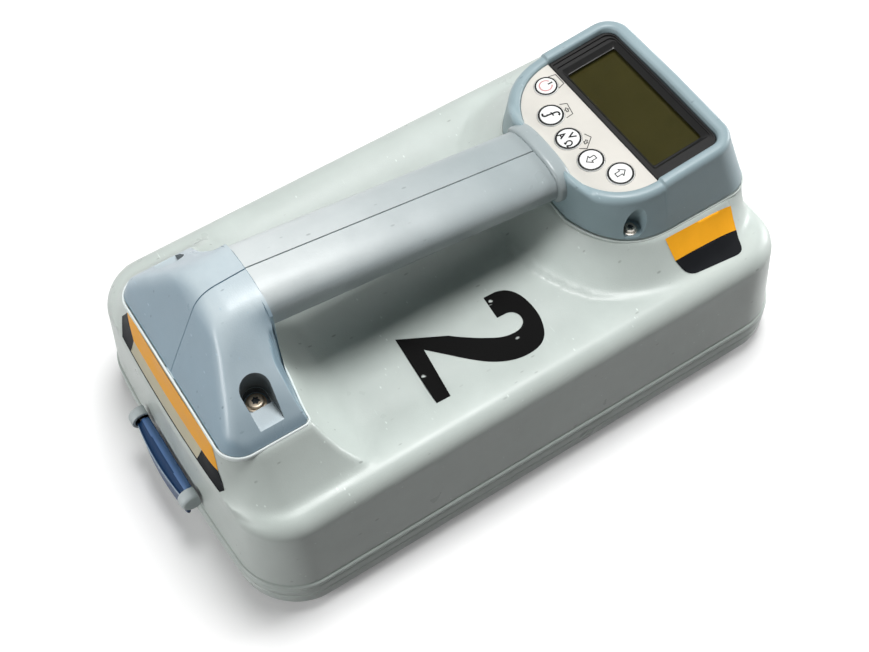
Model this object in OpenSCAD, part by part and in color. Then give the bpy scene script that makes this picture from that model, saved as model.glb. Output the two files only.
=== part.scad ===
// Signal transmitter of a cable locator set: a moulded housing with a carrying handle, a display
// head with five keys, a battery tray that swings down on a hinge, and a lever latch.
// +X is the user's right, +Y points to the display end, +Z is up. Sizes are in millimetres.

/* [Housing] */
// Length of the moulded housing
body_l = 316; // [306:1:330]
// Width of the housing at its parting line
body_w = 188; // [182:1:196]
// Plan radius of the housing corners
corner_r = 29; // [26:1:33]
// Height of the parting line above the ground
rim_z = 20; // [18:0.5:22]
// Height of the side wall from the parting line to the shoulder
wall_h = 44; // [42:1:48]
// Radius of the rounded shoulder
shoulder_r = 10; // [8:0.5:12]
// Wall thickness of the mouldings
wall = 3; // [2.5:0.1:3.5]
// Inward lean of the side wall over its height
draft = 4; // [3:0.5:5]
// Forward sweep of the rear corners
rear_bow = 4; // [1:0.5:5]
// Depth of the dish in the valley under the handle
dish = 3; // [1:0.5:4]
// Width of the bead round the parting line
bead_h = 2.6; // [2:0.2:3.4]

/* [Handle] */
// Height of the seat under the handle's foot
foot_z = 99; // [96:1:102]
// Half width of the foot at its seat
foot_w2 = 57; // [52:1:60]
// Length of the foot at its seat
foot_l = 45; // [42:1:48]
// Distance from the housing's rear end to the foot
foot_back = 13; // [12:0.5:15]
// Half width of the grip
grip_w2 = 21; // [18:0.5:23]
// Thickness of the grip
grip_h = 25; // [22:0.5:27]
// Height of the grip's top where it meets the head
grip_front_z = 121; // [119.5:0.5:122.5]
// Rise of the grip's top from the head to the rear
grip_rise = 24.5; // [21:0.5:27]

/* [Head] */
// Height of the head's seat
head_z = 91; // [89:1:93]
// Half width of the head at its seat
head_w2 = 57.5; // [55:0.5:60]
// Half width of the head at its rim
rim_w2 = 52; // [50.5:0.5:54]
// Height of the display deck at the display's centre
deck_z = 119; // [117:1:121]
// Tilt of the display deck towards the user
deck_tilt = 5.2; // [4:0.2:6]
// Distance from the housing's front end to the display's centre
lcd_back = 42; // [40:1:44]
// Width of the display window
lcd_w = 71; // [66:1:74]
// Height of the display window
lcd_h = 29; // [26:0.5:30]
// Radius of the four equal keys
key_r = 6.8; // [6:0.1:7.2]
// Radius of the power key
power_key_r = 6.1; // [5.5:0.1:6.6]
// Travel of a key
key_travel = 0.6; // [0.4:0.05:0.7]

/* [Tray and latch] */
// Diameter of a battery cell
cell_d = 34.2; // [33:0.1:34.4]
// Length of a battery cell
cell_l = 61.5; // [60:0.1:62]
// Height of the rubber feet under the tray
foot_pad_h = 2; // [1.5:0.1:2.5]
// Thickness of the tray's floor
tray_floor = 2.2; // [2:0.1:2.6]
// Length of the latch lever
latch_l = 48; // [42:1:54]
// Radius of the latch ears
ear_r = 6; // [5.5:0.1:6.5]
// Radius of the hinge and latch pins
pin_r = 1.6; // [1.4:0.1:2]
// Radius of the round opening of the output socket
socket_r = 6.2; // [5.5:0.1:6.6]

/* [Fits] */
// Gap between seated mouldings
seat_gap = 0.2; // [0.1:0.05:0.3]
// Gap between pieces that move past each other
run_gap = 0.4; // [0.3:0.05:0.6]
// Radial clearance of a pin in its bore
pin_gap = 0.05; // [0.02:0.01:0.08]

/* [Hidden] */
$fn = 48;

housing_grey = [0.66, 0.72, 0.72];
blue_grey = [0.55, 0.64, 0.70];
latch_blue = [0.16, 0.28, 0.52];

// Housing levels and ends. The top border is where the side wall ends and the shoulder starts.
shoulder_z = rim_z + wall_h;
top_w2 = body_w / 2 - draft;
rear_y = -body_l / 2 + draft;
front_y = body_l / 2 - draft;
top_r = corner_r - draft;
corner_floor_r = 6;
inset_max = top_r - corner_floor_r;
roof = wall + 1;
bead_out = 0.8;

// Latch and hinge reach past the housing, and the part is centred on the whole length
latch_y = -body_l / 2 - ear_r / 2;
latch_z = rim_z + 14;
hinge_r = pin_r + 2.2;
hinge_y = body_l / 2 + bead_out + 0.3 + hinge_r;
hinge_z = rim_z;
rear_reach = -(latch_y - ear_r);
front_reach = hinge_y + hinge_r;
shift_y = (rear_reach - front_reach) / 2;

// Foot of the handle and the plinth that carries it
foot_rear_y = -body_l / 2 + foot_back;
foot_front_y = foot_rear_y + foot_l;
plinth_ledge = 1.5;
plinth_r = 19;
crease_z = shoulder_z + shoulder_r - 2;
crease_in = 8;
crease_r = 24;
scoop_l = 35;

// Head and the plinth that carries it
lcd_y = body_l / 2 - lcd_back;
head_mid_y = lcd_y - 17;
collar_y = lcd_y - 56.5;
collar_w2 = grip_w2 + 3;
head_front_y = body_l / 2 - draft - 3.5;
rim_front_y = lcd_y + 26;
front_scoop_l = 25.5;
head_power = 2.4;
tan_tilt = tan(deck_tilt);
rim_proud = 1.6;
rim_step = 1.2;
collar_rise = 5.5;
recess_w2 = rim_w2 - 6.5;
recess_rear_y = lcd_y - 52.5;
recess_front_y = rim_front_y - 7;
recess_nose = 12;
ledge_w = 2;
deck_t = 2.4;
split_v = -19.5;
head_wall = wall + 0.2;

// Deck pieces below the surface
glass_drop = 3.4;
window_t = 1.5;
window_lap = 1.2;
lcd_t = 3;
board_t = 1.6;
key_proud = 0.4;
key_slack = 0.25;
dome_room = key_travel + 0.2;
key_spots = [[-34.2, -28.6], [-17.7, -37.3], [-0.8, -38.9], [16.4, -37.7], [31.4, -31.2]];

// Tray, cells and what stands on the chassis
tray_top_z = rim_z - run_gap;
tray_floor_z = foot_pad_h + tray_floor;
tray_round = 6;
lip_h = 3;
cradle_t = 1.6;
cell_pitch = cell_d + 1;
cell_gap = 0.8;
cradle_w2 = 2 * cell_pitch + 2;
cell_z = tray_floor_z + cradle_t + cell_d / 2 + seat_gap;
cells_rear_y = -body_l / 2 + wall + 27;
cells_front_y = cells_rear_y + 2 * cell_l + cell_gap;
chassis_z = shoulder_z - 13;
chassis_t = 2;
chassis_top_z = chassis_z + chassis_t;
standoff_h = 4;
core_r = 4;
winding_t = 1.2;
socket_h = 20;
socket_z = chassis_z - 3 - socket_h / 2;

function lerp(a, b, t) = a + (b - a) * t;
function clamp01(t) = max(0, min(1, t));
function ease(t) = let (c = clamp01(t)) c * c * (3 - 2 * c);

// Plan of the housing: a border of points at a given inset from the top border
corner_n = 8;
side_n = 26;
cross_n = 10;
station_n = 2 * corner_n + side_n;
border_n = 2 * cross_n + 2 * station_n;
cross_t = [-1, -0.92, -0.82, -0.6, -0.3, 0, 0.3, 0.6, 0.82, 0.92, 1];
corner_x = top_w2 - top_r;

function bow(x, y) = rear_bow * pow(x / top_w2, 2) * ease((-y - body_l / 4) / (body_l / 4));
function bowed(p) = [p[0], p[1] + bow(p[0], p[1])];
function corner_pt(a, r, y, s) = [corner_x + r * sin(a), y - s * r * cos(a)];
function side_pt(j, e) =
    j <= corner_n
    ? corner_pt(90 * j / corner_n, top_r - e, rear_y + top_r, 1)
    : j >= corner_n + side_n
    ? corner_pt(90 * (station_n - j) / corner_n, top_r - e, front_y - top_r, -1)
    : [top_w2 - e, lerp(rear_y + top_r, front_y - top_r, (j - corner_n) / side_n)];
function border_pt(q, e) = bowed(
    q <= cross_n ? [cross_t[q] * corner_x, rear_y + e]
    : q <= cross_n + station_n ? side_pt(q - cross_n, e)
    : q <= 2 * cross_n + station_n
    ? [cross_t[2 * cross_n + station_n - q] * corner_x, front_y - e]
    : let (p = side_pt(border_n - q, e)) [-p[0], p[1]]);
function border(e) = [for (q = [0:border_n - 1]) border_pt(q, e)];

// Heights of the moulded top: shoulder and dished floor, with a hollow-flanked plinth at each end
function soft_max(a, b, k) = max(a, b) + pow(max(k - abs(a - b), 0), 2) / (4 * k);
function soft_min(a, b, k) = -soft_max(-a, -b, k);
function gauge(u, v, p) = max(0.005, pow(pow(u, p) + pow(v, p), 1 / p));
function slot_distance(x, y, half, rear, r) =
    let (qx = abs(x) - half + r)
    let (qy = rear + r - y)
    norm([max(qx, 0), max(qy, 0)]) + min(max(qx, qy), 0) - r;
function flank(t, high, k) =
    t >= 1 ? 0 : crease_z + (high - crease_z) * pow(1 - clamp01((t + sqrt(t * t + 0.0012)) / 2), k);
function floor_height(e) =
    shoulder_z
    + (e < shoulder_r ? sqrt(shoulder_r * shoulder_r - pow(shoulder_r - max(e, 0), 2)) : shoulder_r)
    - dish * ease((e - shoulder_r) / 25);
function rear_plinth(x, y) =
    let (back = y - bow(x, y))
    let (inner = slot_distance(x, back, foot_w2 + plinth_ledge, foot_rear_y - plinth_ledge, plinth_r))
    let (outer = -slot_distance(x, back, top_w2 - crease_in, rear_y + 0.5, crease_r))
    let (side = flank(outer > 0 ? inner / (inner + outer) : 1, foot_z, 1.35))
    let (reach = max(0, min(1.3, (foot_front_y + scoop_l - y) / scoop_l)))
    let (scoop = crease_z - 1 + (foot_z - crease_z + 2.5) * pow(reach, 3.4))
    side > 0 ? soft_min(side, scoop, 2) : 0;
function front_plinth(x, y) =
    let (w = head_w2 + plinth_ledge)
    let (far_w = top_w2 - crease_in)
    let (back_l = head_mid_y - collar_y + plinth_ledge)
    let (front_l = head_front_y - head_mid_y + 0.5)
    let (v = abs(y - head_mid_y))
    let (behind = y < head_mid_y)
    let (near = behind ? gauge(abs(x) / w, v / back_l, head_power) : gauge(abs(x) / w, v / front_l, 7))
    let (far = behind ? gauge(abs(x) / far_w, v / (back_l + front_scoop_l - plinth_ledge), 2.1)
        : gauge(abs(x) / far_w, v / (front_l + 1.8), 4))
    flank(far < 1 ? (1 - 1 / near) / max(0.001, 1 / far - 1 / near) : 1, head_z, 1.5);
function top_height(x, y, e) =
    soft_max(soft_max(floor_height(e), rear_plinth(x, y), 2), front_plinth(x, y), 3);

// The ceiling stays a wall's thickness below the top and inside the flanks
function inset_at(x, y) =
    let (u = abs(x) - corner_x)
    let (v = abs(y - bow(x, y)) - front_y + top_r)
    top_r - norm([max(u, 0), max(v, 0)]) - min(max(u, v), 0);
function near_height(x, y) = top_height(x, y, inset_at(x, y));
function ceiling_height(x, y) = min(near_height(x, y) - roof,
    min([for (d = [-wall, wall]) min(near_height(x + d, y), near_height(x, y + d))]) - 1);
function lean(z) = -draft * (1 - (z - rim_z) / wall_h);

// Rings of the housing: walls at fixed heights, then the moulded top at growing insets
socket_low_z = socket_z - socket_h / 2;
socket_high_z = socket_z + socket_h / 2;
outer_walls = [[rim_z, lean(rim_z) - bead_out], [rim_z + bead_h, lean(rim_z + bead_h) - bead_out],
    [rim_z + bead_h + 0.7, lean(rim_z + bead_h)], [socket_low_z, lean(socket_low_z)],
    [socket_high_z, lean(socket_high_z)]];
inner_walls = [for (z = [rim_z, rim_z + bead_h, rim_z + bead_h + 0.7, socket_low_z, socket_high_z])
    [z, lean(z) + wall]];
outer_insets = concat([for (a = [0:22.5:90]) shoulder_r * (1 - cos(a))],
    [for (t = [0.2, 0.45, 0.7, 1]) lerp(shoulder_r, inset_max, t)]);
inner_insets = [for (t = [0, 0.12, 0.3, 0.65, 1]) lerp(wall + 0.5, inset_max, t)];
socket_ring = 3;
socket_from = border_n - corner_n - 9;
socket_to = socket_from + 4;
cable_row = [station_n - corner_n - 5, station_n - corner_n - 4];
cable_col = [4, 6];

function wall_ring(w) = [for (p = border(w[1])) [p[0], p[1], w[0]]];
function height_at(x, y, e, outside) = outside ? top_height(x, y, e) : ceiling_height(x, y);
function top_ring(e, outside) = [for (p = border(e)) [p[0], p[1], height_at(p[0], p[1], e, outside)]];
function floor_pt(j, i, outside) =
    let (s = side_pt(j, inset_max))
    let (p = bowed([cross_t[i] * s[0], s[1]]))
    [p[0], p[1], height_at(p[0], p[1], inset_at(p[0], p[1]), outside)];
function floor_pts(outside) =
    [for (j = [1:station_n - 1]) for (i = [1:cross_n - 1]) floor_pt(j, i, outside)];
function skin(walls, insets, outside) = concat(
    [for (w = walls) each wall_ring(w)],
    [for (e = insets) each top_ring(e, outside)],
    floor_pts(outside));

// Index of a point of the top's grid inside a skin that has the given number of rings
function grid_at(base, rings, j, i) =
    let (edge = base + (rings - 1) * border_n)
    j == 0 ? edge + i
    : j == station_n ? edge + 2 * cross_n + station_n - i
    : i == cross_n ? edge + cross_n + j
    : i == 0 ? edge + border_n - j
    : base + rings * border_n + (j - 1) * (cross_n - 1) + i - 1;
function turned(f, flip) = flip ? [f[3], f[2], f[1], f[0]] : f;
function in_range(v, r) = v >= r[0] && v < r[1];
function ring_quads(base, rings, flip) = [for (k = [0:rings - 2]) for (q = [0:border_n - 1])
    let (n = (q + 1) % border_n)
    if (!(k == socket_ring && in_range(q, [socket_from, socket_to])))
        turned([base + k * border_n + q, base + k * border_n + n,
            base + (k + 1) * border_n + n, base + (k + 1) * border_n + q], flip)];
function grid_quads(base, rings, flip) = [for (j = [0:station_n - 1]) for (i = [0:cross_n - 1])
    if (!(in_range(j, cable_row) && in_range(i, cable_col)))
        turned([grid_at(base, rings, j, i), grid_at(base, rings, j, i + 1),
            grid_at(base, rings, j + 1, i + 1), grid_at(base, rings, j + 1, i)], flip)];

// Closes the edge loop of an opening between the outer and the inner skin
function loop_quads(outer, inner) = [for (k = [0:len(outer) - 1])
    let (n = (k + 1) % len(outer))
    [outer[k], outer[n], inner[n], inner[k]]];
function socket_loop(base) = concat(
    [for (q = [socket_to:-1:socket_from]) base + socket_ring * border_n + q],
    [for (q = [socket_from:socket_to]) base + (socket_ring + 1) * border_n + q]);
function cable_loop(base, rings) = concat(
    [for (i = [cable_col[0]:cable_col[1]]) grid_at(base, rings, cable_row[1], i)],
    [for (i = [cable_col[1]:-1:cable_col[0]]) grid_at(base, rings, cable_row[0], i)]);
function rim_loop(base) = [for (q = [0:border_n - 1]) base + q];

module housing_shell() {
    outer = skin(outer_walls, outer_insets, true);
    inner = skin(inner_walls, inner_insets, false);
    outer_rings = len(outer_walls) + len(outer_insets);
    inner_rings = len(inner_walls) + len(inner_insets);
    base = len(outer);
    polyhedron(concat(outer, inner), concat(
        ring_quads(0, outer_rings, true), grid_quads(0, outer_rings, true),
        ring_quads(base, inner_rings, false), grid_quads(base, inner_rings, false),
        loop_quads(rim_loop(0), rim_loop(base)),
        loop_quads(socket_loop(0), socket_loop(base)),
        loop_quads(cable_loop(0, outer_rings), cable_loop(base, inner_rings))), convexity = 8);
}

// Sweep of the handle: the grip's upright sections, then a fan of sections that turns down to the seat
grip_n = 7;
fan_n = 10;
half_n = 10;
fan_y = foot_front_y + 1.5;
grip_slope = grip_rise / (collar_y - fan_y);
fan_top = grip_front_z + grip_rise - foot_z;
fan_rear = fan_y - foot_rear_y;
fan_in = fan_y - foot_front_y;
foot_swell = 0.9;
foot_skirt = 10;
foot_top_lean = 5.7;
foot_rear_lean = 27;

function grip_top(y) = grip_front_z + (collar_y - y) * grip_slope;

// One sweep station: the section's inner point, its outer point, half width and squareness
function grip_station(t) =
    let (y = lerp(collar_y - seat_gap, fan_y, t))
    [[y, grip_top(y) - grip_h], [y, grip_top(y)], grip_w2 * lerp(1.02, 1, t), 2.6];
function fan_station(t) =
    let (a = 90 * t)
    let (r0 = lerp(fan_top - grip_h, fan_in, ease(t)))
    let (top_r1 = (fan_top + foot_swell) / max(0.1, cos(a - foot_top_lean)))
    let (rear_r1 = fan_rear * cos(foot_rear_lean) / cos(a - 90 + foot_rear_lean))
    let (r1 = soft_min(top_r1, rear_r1, 10))
    let (flare = foot_w2 - grip_w2 - foot_skirt)
    [[fan_y - r0 * sin(a), foot_z + seat_gap + r0 * cos(a)],
        [fan_y - r1 * sin(a), foot_z + seat_gap + r1 * cos(a)],
        grip_w2 + flare * pow(t, 1.5) + foot_skirt * pow(t, 16) + foot_swell * (1 - t), lerp(2.6, 9, t * t)];
handle_stations = concat(
    [for (k = [0:grip_n]) grip_station(k / grip_n)],
    [for (k = [1:fan_n]) fan_station(k / fan_n)]);

function signed_pow(v, p) = sign(v) * pow(abs(v), p);
function section_pt(st, a, inset) =
    let (v = signed_pow(cos(a), 2 / st[3]))
    let (h = norm(st[1] - st[0]))
    let (t = 0.5 + (0.5 - inset / h) * v)
    let (p = lerp(st[0], st[1], t))
    [(st[2] - inset) * pow(sin(a), 2 / st[3]) + seat_gap / 4, p[0], p[1]];
function half_loop(st) = concat(
    [for (k = [0:half_n]) section_pt(st, 180 * k / half_n, 0)],
    [for (k = [half_n:-1:0]) section_pt(st, 180 * k / half_n, wall)]);

// Triangles between the loops of a sweep
function split(f) = [[f[0], f[1], f[2]], [f[0], f[2], f[3]]];
function sweep_sides(n, last) = [for (s = [0:last - 1]) for (k = [0:n - 1])
    let (m = (k + 1) % n)
    each split([s * n + k, s * n + m, (s + 1) * n + m, (s + 1) * n + k])];

module handle_shell() {
    n = 2 * (half_n + 1);
    last = len(handle_stations) - 1;
    start_cap = [for (k = [0:half_n - 1]) each split([k + 1, k, n - 1 - k, n - 2 - k])];
    end_cap = [for (f = start_cap) [for (k = [2:-1:0]) last * n + f[k]]];
    polyhedron([for (st = handle_stations) each half_loop(st)],
        concat(sweep_sides(n, last), start_cap, end_cap), convexity = 6);
}

// Solid foot just inside the shell's skin, for the walls of the screw pocket
module foot_core() {
    n = half_n + 1;
    stations = [for (s = [0:fan_n]) fan_station(s / fan_n)];
    polyhedron([for (st = stations) for (k = [0:half_n]) section_pt(st, 180 * k / half_n, core_in)],
        concat(sweep_sides(n, fan_n), [[for (k = [half_n:-1:0]) k]], [[for (k = [0:half_n]) fan_n * n + k]]));
}

// Upright pocket in the foot's flank, open to the side, with a screw on its floor
pocket_r = 6;
core_in = 0.5;
pocket_wall = 2.2;
pocket_x = foot_w2 - 20;
pocket_y = (foot_rear_y + foot_front_y) / 2 + 2.5;
pocket_z = foot_z + seat_gap + pocket_wall;
module pocket(r, z) {
    translate([pocket_x, pocket_y, z]) linear_extrude(grip_rise) {
        circle(r);
        translate([0, -r]) square([foot_w2, 2 * r]);
    }
}

module handle_half() {
    difference() {
        union() {
            handle_shell();
            intersection() {
                foot_core();
                pocket(pocket_r + pocket_wall, foot_z + seat_gap + core_in);
            }
        }
        pocket(pocket_r, pocket_z);
    }
}

// Outline of the head: a flat collar, flanks that swell from it, and a squared front
head_swell_n = 8;
head_corner_n = 4;
function swell_b(w, rear, nose) = (head_mid_y - rear) / pow(1 - pow(nose / w, head_power), 1 / head_power);
function swell_pt(a, w, b) = [w * pow(sin(a), 2 / head_power), head_mid_y - b * pow(cos(a), 2 / head_power)];
function head_side(w, rear, front, nose, r) =
    let (b = swell_b(w, rear, nose))
    let (a0 = asin(pow(nose / w, head_power / 2)))
    concat(
        [for (k = [0:head_swell_n]) swell_pt(lerp(a0, 90, k / head_swell_n), w, b)],
        [[w, lerp(head_mid_y, front - r, 0.5)]],
        [for (k = [0:head_corner_n]) let (a = 90 * k / head_corner_n)
            [w - r + r * cos(a), front - r + r * sin(a) - rim_step * cos(a) / 2]]);
function head_outline(w, rear, front, nose, r) =
    let (side = head_side(w, rear, front, nose, r))
    concat([[0, rear]], side, [[0, front + rim_step / 2]],
        [for (k = [len(side) - 1:-1:0]) [-side[k][0], side[k][1]]]);

// Height of the deck plane, of the rim above it and of the hump that meets the handle
function deck_height(y) = deck_z + (y - lcd_y) * tan_tilt;
function rim_height(y) = deck_height(y) + rim_proud
    + rim_step * ease((y - lcd_y - split_v) / 2 + 0.5)
    + collar_rise * ease((recess_rear_y + 4 - y) / (recess_rear_y + 4 - collar_y));
function at_height(ring, z) = [for (p = ring) [p[0], p[1], z]];
function at_rim(ring, drop) = [for (p = ring) [p[0], p[1], rim_height(p[1]) - drop]];
function at_deck(ring, drop) = [for (p = ring) [p[0], p[1], deck_height(p[1]) - drop]];
function base_ring(e) = head_outline(head_w2 - e, collar_y + e, head_front_y - e, collar_w2 - e, 14 - e);
function rim_ring(e) = head_outline(rim_w2 - e, collar_y + e, rim_front_y - e, collar_w2 - 1 - e, 13 - e);
function recess_ring(e) =
    head_outline(recess_w2 - e, recess_rear_y + e, recess_front_y - e, recess_nose - e, 6 - e / 2);
function mixed(a, b, t) = [for (k = [0:len(a) - 1]) lerp(a[k], b[k], t)];

module ring_solid(rings) {
    n = len(rings[0]);
    m = len(rings);
    polyhedron([for (r = rings) each r], [for (k = [0:m - 1]) for (q = [0:n - 1])
        let (above = (k + 1) % m)
        let (next = (q + 1) % n)
        each split([k * n + next, k * n + q, above * n + q, above * n + next])], convexity = 6);
}

head_seat_z = head_z + seat_gap;
module head_shell() {
    low_out = at_height(base_ring(0), head_seat_z);
    high_out = at_rim(rim_ring(0), 4);
    under = deck_t + seat_gap + 2.5;
    ring_solid([low_out, mixed(low_out, high_out, 0.25), mixed(low_out, high_out, 0.7), high_out,
        at_rim(rim_ring(0.9), 1.2), at_rim(rim_ring(2.6), 0), at_rim(recess_ring(-0.9), 0.2),
        at_deck(recess_ring(0), deck_t + seat_gap), at_deck(recess_ring(ledge_w), deck_t + seat_gap),
        at_deck(recess_ring(ledge_w), under),
        at_deck(mixed(rim_ring(head_wall + 1), recess_ring(0), 0.2), under + 1),
        at_height(base_ring(head_wall), head_seat_z)]);
}

// Solid head just inside the shell's skin up to a level, for the walls of the screw grooves
groove_r = 5.4;
groove_wall = 2.2;
groove_lean = 24;
groove_x = head_w2 - 9.5;
groove_y = head_mid_y - 18.6;
groove_z = head_seat_z + groove_wall;
groove_top_z = head_z + 19;
module head_core() {
    low = at_height(base_ring(core_in), head_seat_z);
    rim = at_rim(rim_ring(core_in), 4);
    rise = groove_top_z - head_seat_z;
    high = [for (k = [0:len(low) - 1]) lerp(low[k], rim[k], rise / (rim[k][2] - head_seat_z))];
    n = len(low);
    polyhedron(concat(low, high), concat(
        [for (q = [0:n - 1]) each split([(q + 1) % n, q, n + q, n + (q + 1) % n])],
        [[for (q = [0:n - 1]) q]], [[for (q = [n - 1:-1:0]) n + q]]), convexity = 4);
}

// Groove in the head's flank for a screw: it leans out, so it runs out of the flank at its top
module groove(r, z) {
    intersection() {
        translate([groove_x, groove_y, groove_z]) rotate([0, groove_lean, 0]) translate([0, 0, -20])
            cylinder(r = r, h = 60);
        translate([0, groove_y - 2 * r, z]) cube([2 * head_w2, 4 * r, grip_rise]);
    }
}

module both_sides() {
    children();
    mirror([1, 0, 0]) children();
}

// Ridge round the end of the grip where it enters the head
ridge_n = 32;
ridge_l = 4;
function ridge_ring(y, grow) = [for (k = [0:ridge_n - 1]) let (a = 360 * k / ridge_n)
    [(1.02 * grip_w2 + grow) * signed_pow(sin(a), 2 / 2.6), y,
        grip_top(y) - grip_h / 2 + (grip_h / 2 + grow) * signed_pow(cos(a), 2 / 2.6)]];
module collar_ridge() {
    rear = collar_y - ridge_l;
    inside = 1.5 * seat_gap;
    ring_solid([ridge_ring(rear, inside + 0.4), ridge_ring(rear + 0.8, 1.5), ridge_ring(collar_y - 1, 2),
        ridge_ring(collar_y + 0.6, 2), ridge_ring(collar_y + 0.6, inside), ridge_ring(rear, inside)]);
}

// Puts a piece on the tilted deck, with its origin at the display's centre
module on_deck() {
    translate([0, lcd_y, deck_z]) rotate([deck_tilt, 0, 0]) children();
}
function deck_v(y) = (y - lcd_y) / cos(deck_tilt);

module rounded_plate(w, v0, v1, r, t) {
    linear_extrude(t) {
        translate([-w, v0 + r]) square([2 * w, v1 - v0 - 2 * r]);
        translate([-w + r, v0]) square([2 * w - 2 * r, v1 - v0]);
        for (x = [-w + r, w - r]) for (v = [v0 + r, v1 - r]) translate([x, v]) circle(r);
    }
}

// Plan of the keypad at an inset from the recess, cut off straight in front of the display
module keypad_outline(e, front_v) {
    w = recess_w2 - e;
    nose = recess_nose - e;
    b = swell_b(w, recess_rear_y + e, nose);
    a0 = asin(pow(nose / w, head_power / 2));
    a1 = acos(pow((head_mid_y - lcd_y - front_v * cos(deck_tilt)) / b, head_power / 2));
    side = [for (k = [0:12]) swell_pt(lerp(a0, a1, k / 12), w, b)];
    polygon(concat([for (p = side) [p[0], deck_v(p[1])]],
        [for (k = [len(side) - 1:-1:0]) [-side[k][0], deck_v(side[k][1])]]));
}

module key_holes(gap) {
    for (k = [0:len(key_spots) - 1])
        translate(key_spots[k]) circle((k == 0 ? power_key_r : key_r) + gap);
}

module key(k) {
    r = k == 0 ? power_key_r : key_r;
    color("whitesmoke") place() on_deck() translate([key_spots[k][0], key_spots[k][1], -deck_t])
        cylinder(r = r, h = deck_t + key_proud);
}

module place() {
    translate([0, shift_y, 0]) children();
}

module border_plate(e, z, t) {
    translate([0, 0, z]) linear_extrude(t) polygon(border(e));
}

module upper_housing() {
    color(housing_grey) place() housing_shell();
}

module handle_right() {
    color(blue_grey) place() handle_half();
}

module handle_left() {
    color(blue_grey) place() mirror([1, 0, 0]) handle_half();
}

module handle_screws() {
    color("silver") place() both_sides() translate([pocket_x, pocket_y, pocket_z + seat_gap / 2])
        cylinder(r = 3.8, h = 2.4);
}

module head_housing() {
    color(blue_grey) place() {
        difference() {
            union() {
                head_shell();
                intersection() {
                    head_core();
                    both_sides() groove(groove_r + groove_wall, head_seat_z + core_in);
                }
            }
            both_sides() groove(groove_r, groove_z);
        }
        collar_ridge();
    }
}

module head_screws() {
    color("silver") place() both_sides() translate([groove_x, groove_y, groove_z + seat_gap / 2])
        cylinder(r = 2.9, h = 2.2);
}

module display_frame() {
    front_v = deck_v(recess_front_y) - key_slack;
    w = recess_w2 - key_slack;
    skirt = glass_drop + window_t + seat_gap;
    pocket_w = lcd_w / 2 + window_lap + seat_gap / 2;
    pocket_h = lcd_h / 2 + window_lap + seat_gap / 2;
    color([0.13, 0.13, 0.14]) place() on_deck() difference() {
        union() {
            translate([0, 0, -deck_t]) rounded_plate(w, split_v, front_v, 7, deck_t);
            translate([0, 0, -skirt])
                rounded_plate(w - ledge_w - 0.6, split_v + 0.5, front_v - ledge_w - 0.4, 6, skirt);
        }
        translate([-lcd_w / 2, -lcd_h / 2, -skirt - 1]) cube([lcd_w, lcd_h, skirt + 2]);
        translate([-pocket_w, -pocket_h, -skirt - 1])
            cube([2 * pocket_w, 2 * pocket_h, skirt + 1 - glass_drop]);
    }
}

module display_window() {
    w = lcd_w / 2 + window_lap;
    h = lcd_h / 2 + window_lap;
    color([0.35, 0.36, 0.25, 0.6]) place() on_deck()
        translate([-w, -h, -glass_drop - seat_gap / 2 - window_t]) cube([2 * w, 2 * h, window_t]);
}

module lcd_panel() {
    w = lcd_w / 2 + window_lap + 1;
    h = lcd_h / 2 + window_lap + 0.6;
    color([0.30, 0.30, 0.17]) place() on_deck()
        translate([-w, -h, -glass_drop - window_t - 2 * seat_gap - lcd_t]) cube([2 * w, 2 * h, lcd_t]);
}

module keypad_membrane() {
    color([0.72, 0.70, 0.65]) place() on_deck() translate([0, 0, -deck_t]) linear_extrude(deck_t)
        difference() {
            keypad_outline(key_slack, split_v - key_slack);
            key_holes(key_slack);
        }
}

module keypad_board() {
    color("darkgreen") place() on_deck() translate([0, 0, -deck_t - dome_room - board_t])
        linear_extrude(board_t) keypad_outline(ledge_w + run_gap, split_v - 3 * key_slack);
}

module key_power() {
    key(0);
}

module key_frequency() {
    key(1);
}

module key_measure() {
    key(2);
}

module key_down() {
    key(3);
}

module key_up() {
    key(4);
}

// Plate that closes the battery bay from above, with the stand-offs of the main board
board_w2 = 48;
board_rear_y = head_mid_y - 26;
board_front_y = head_mid_y + 44;
module chassis() {
    color("dimgray") place() {
        border_plate(lean(chassis_z) + wall + run_gap, chassis_z, chassis_t);
        for (x = [-board_w2 + 6, board_w2 - 6]) for (y = [board_rear_y + 6, board_front_y - 6])
            translate([x, y, chassis_top_z]) cylinder(r = 3.2, h = standoff_h);
    }
}

module main_board() {
    z = chassis_top_z + standoff_h + seat_gap / 2;
    color("darkgreen") place() translate([-board_w2, board_rear_y, z])
        cube([2 * board_w2, board_front_y - board_rear_y, board_t]);
}

cable_y = side_pt(cable_row[0], inset_max)[1] + 5;
module ribbon_cable() {
    low = chassis_top_z + standoff_h + board_t + seat_gap;
    high = deck_height(cable_y) - deck_t - dome_room - board_t - seat_gap - 0.6;
    color("lightgray") place() translate([-9, cable_y - 0.4, low]) cube([18, 0.8, high - low]);
}

module sounder() {
    z = chassis_top_z + standoff_h + board_t + seat_gap;
    color("black") place() translate([board_w2 - 18, board_front_y - 18, z]) difference() {
        cylinder(r = 9, h = 6);
        translate([0, 0, 4]) cylinder(r = 1.6, h = 4);
    }
}

module output_transformer() {
    y = (foot_rear_y + foot_front_y) / 2;
    color([0.62, 0.38, 0.16]) place() translate([0, y, chassis_top_z + seat_gap])
        rotate_extrude() translate([11, 0]) square([13, 17]);
}

core_z = chassis_top_z + core_r + winding_t + seat_gap;
core_rear_y = foot_front_y + 28;
core_front_y = collar_y - 14;
module ferrite_core() {
    color([0.22, 0.22, 0.22]) place() translate([0, core_front_y, core_z]) rotate([90, 0, 0])
        cylinder(r = core_r, h = core_front_y - core_rear_y);
}

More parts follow.
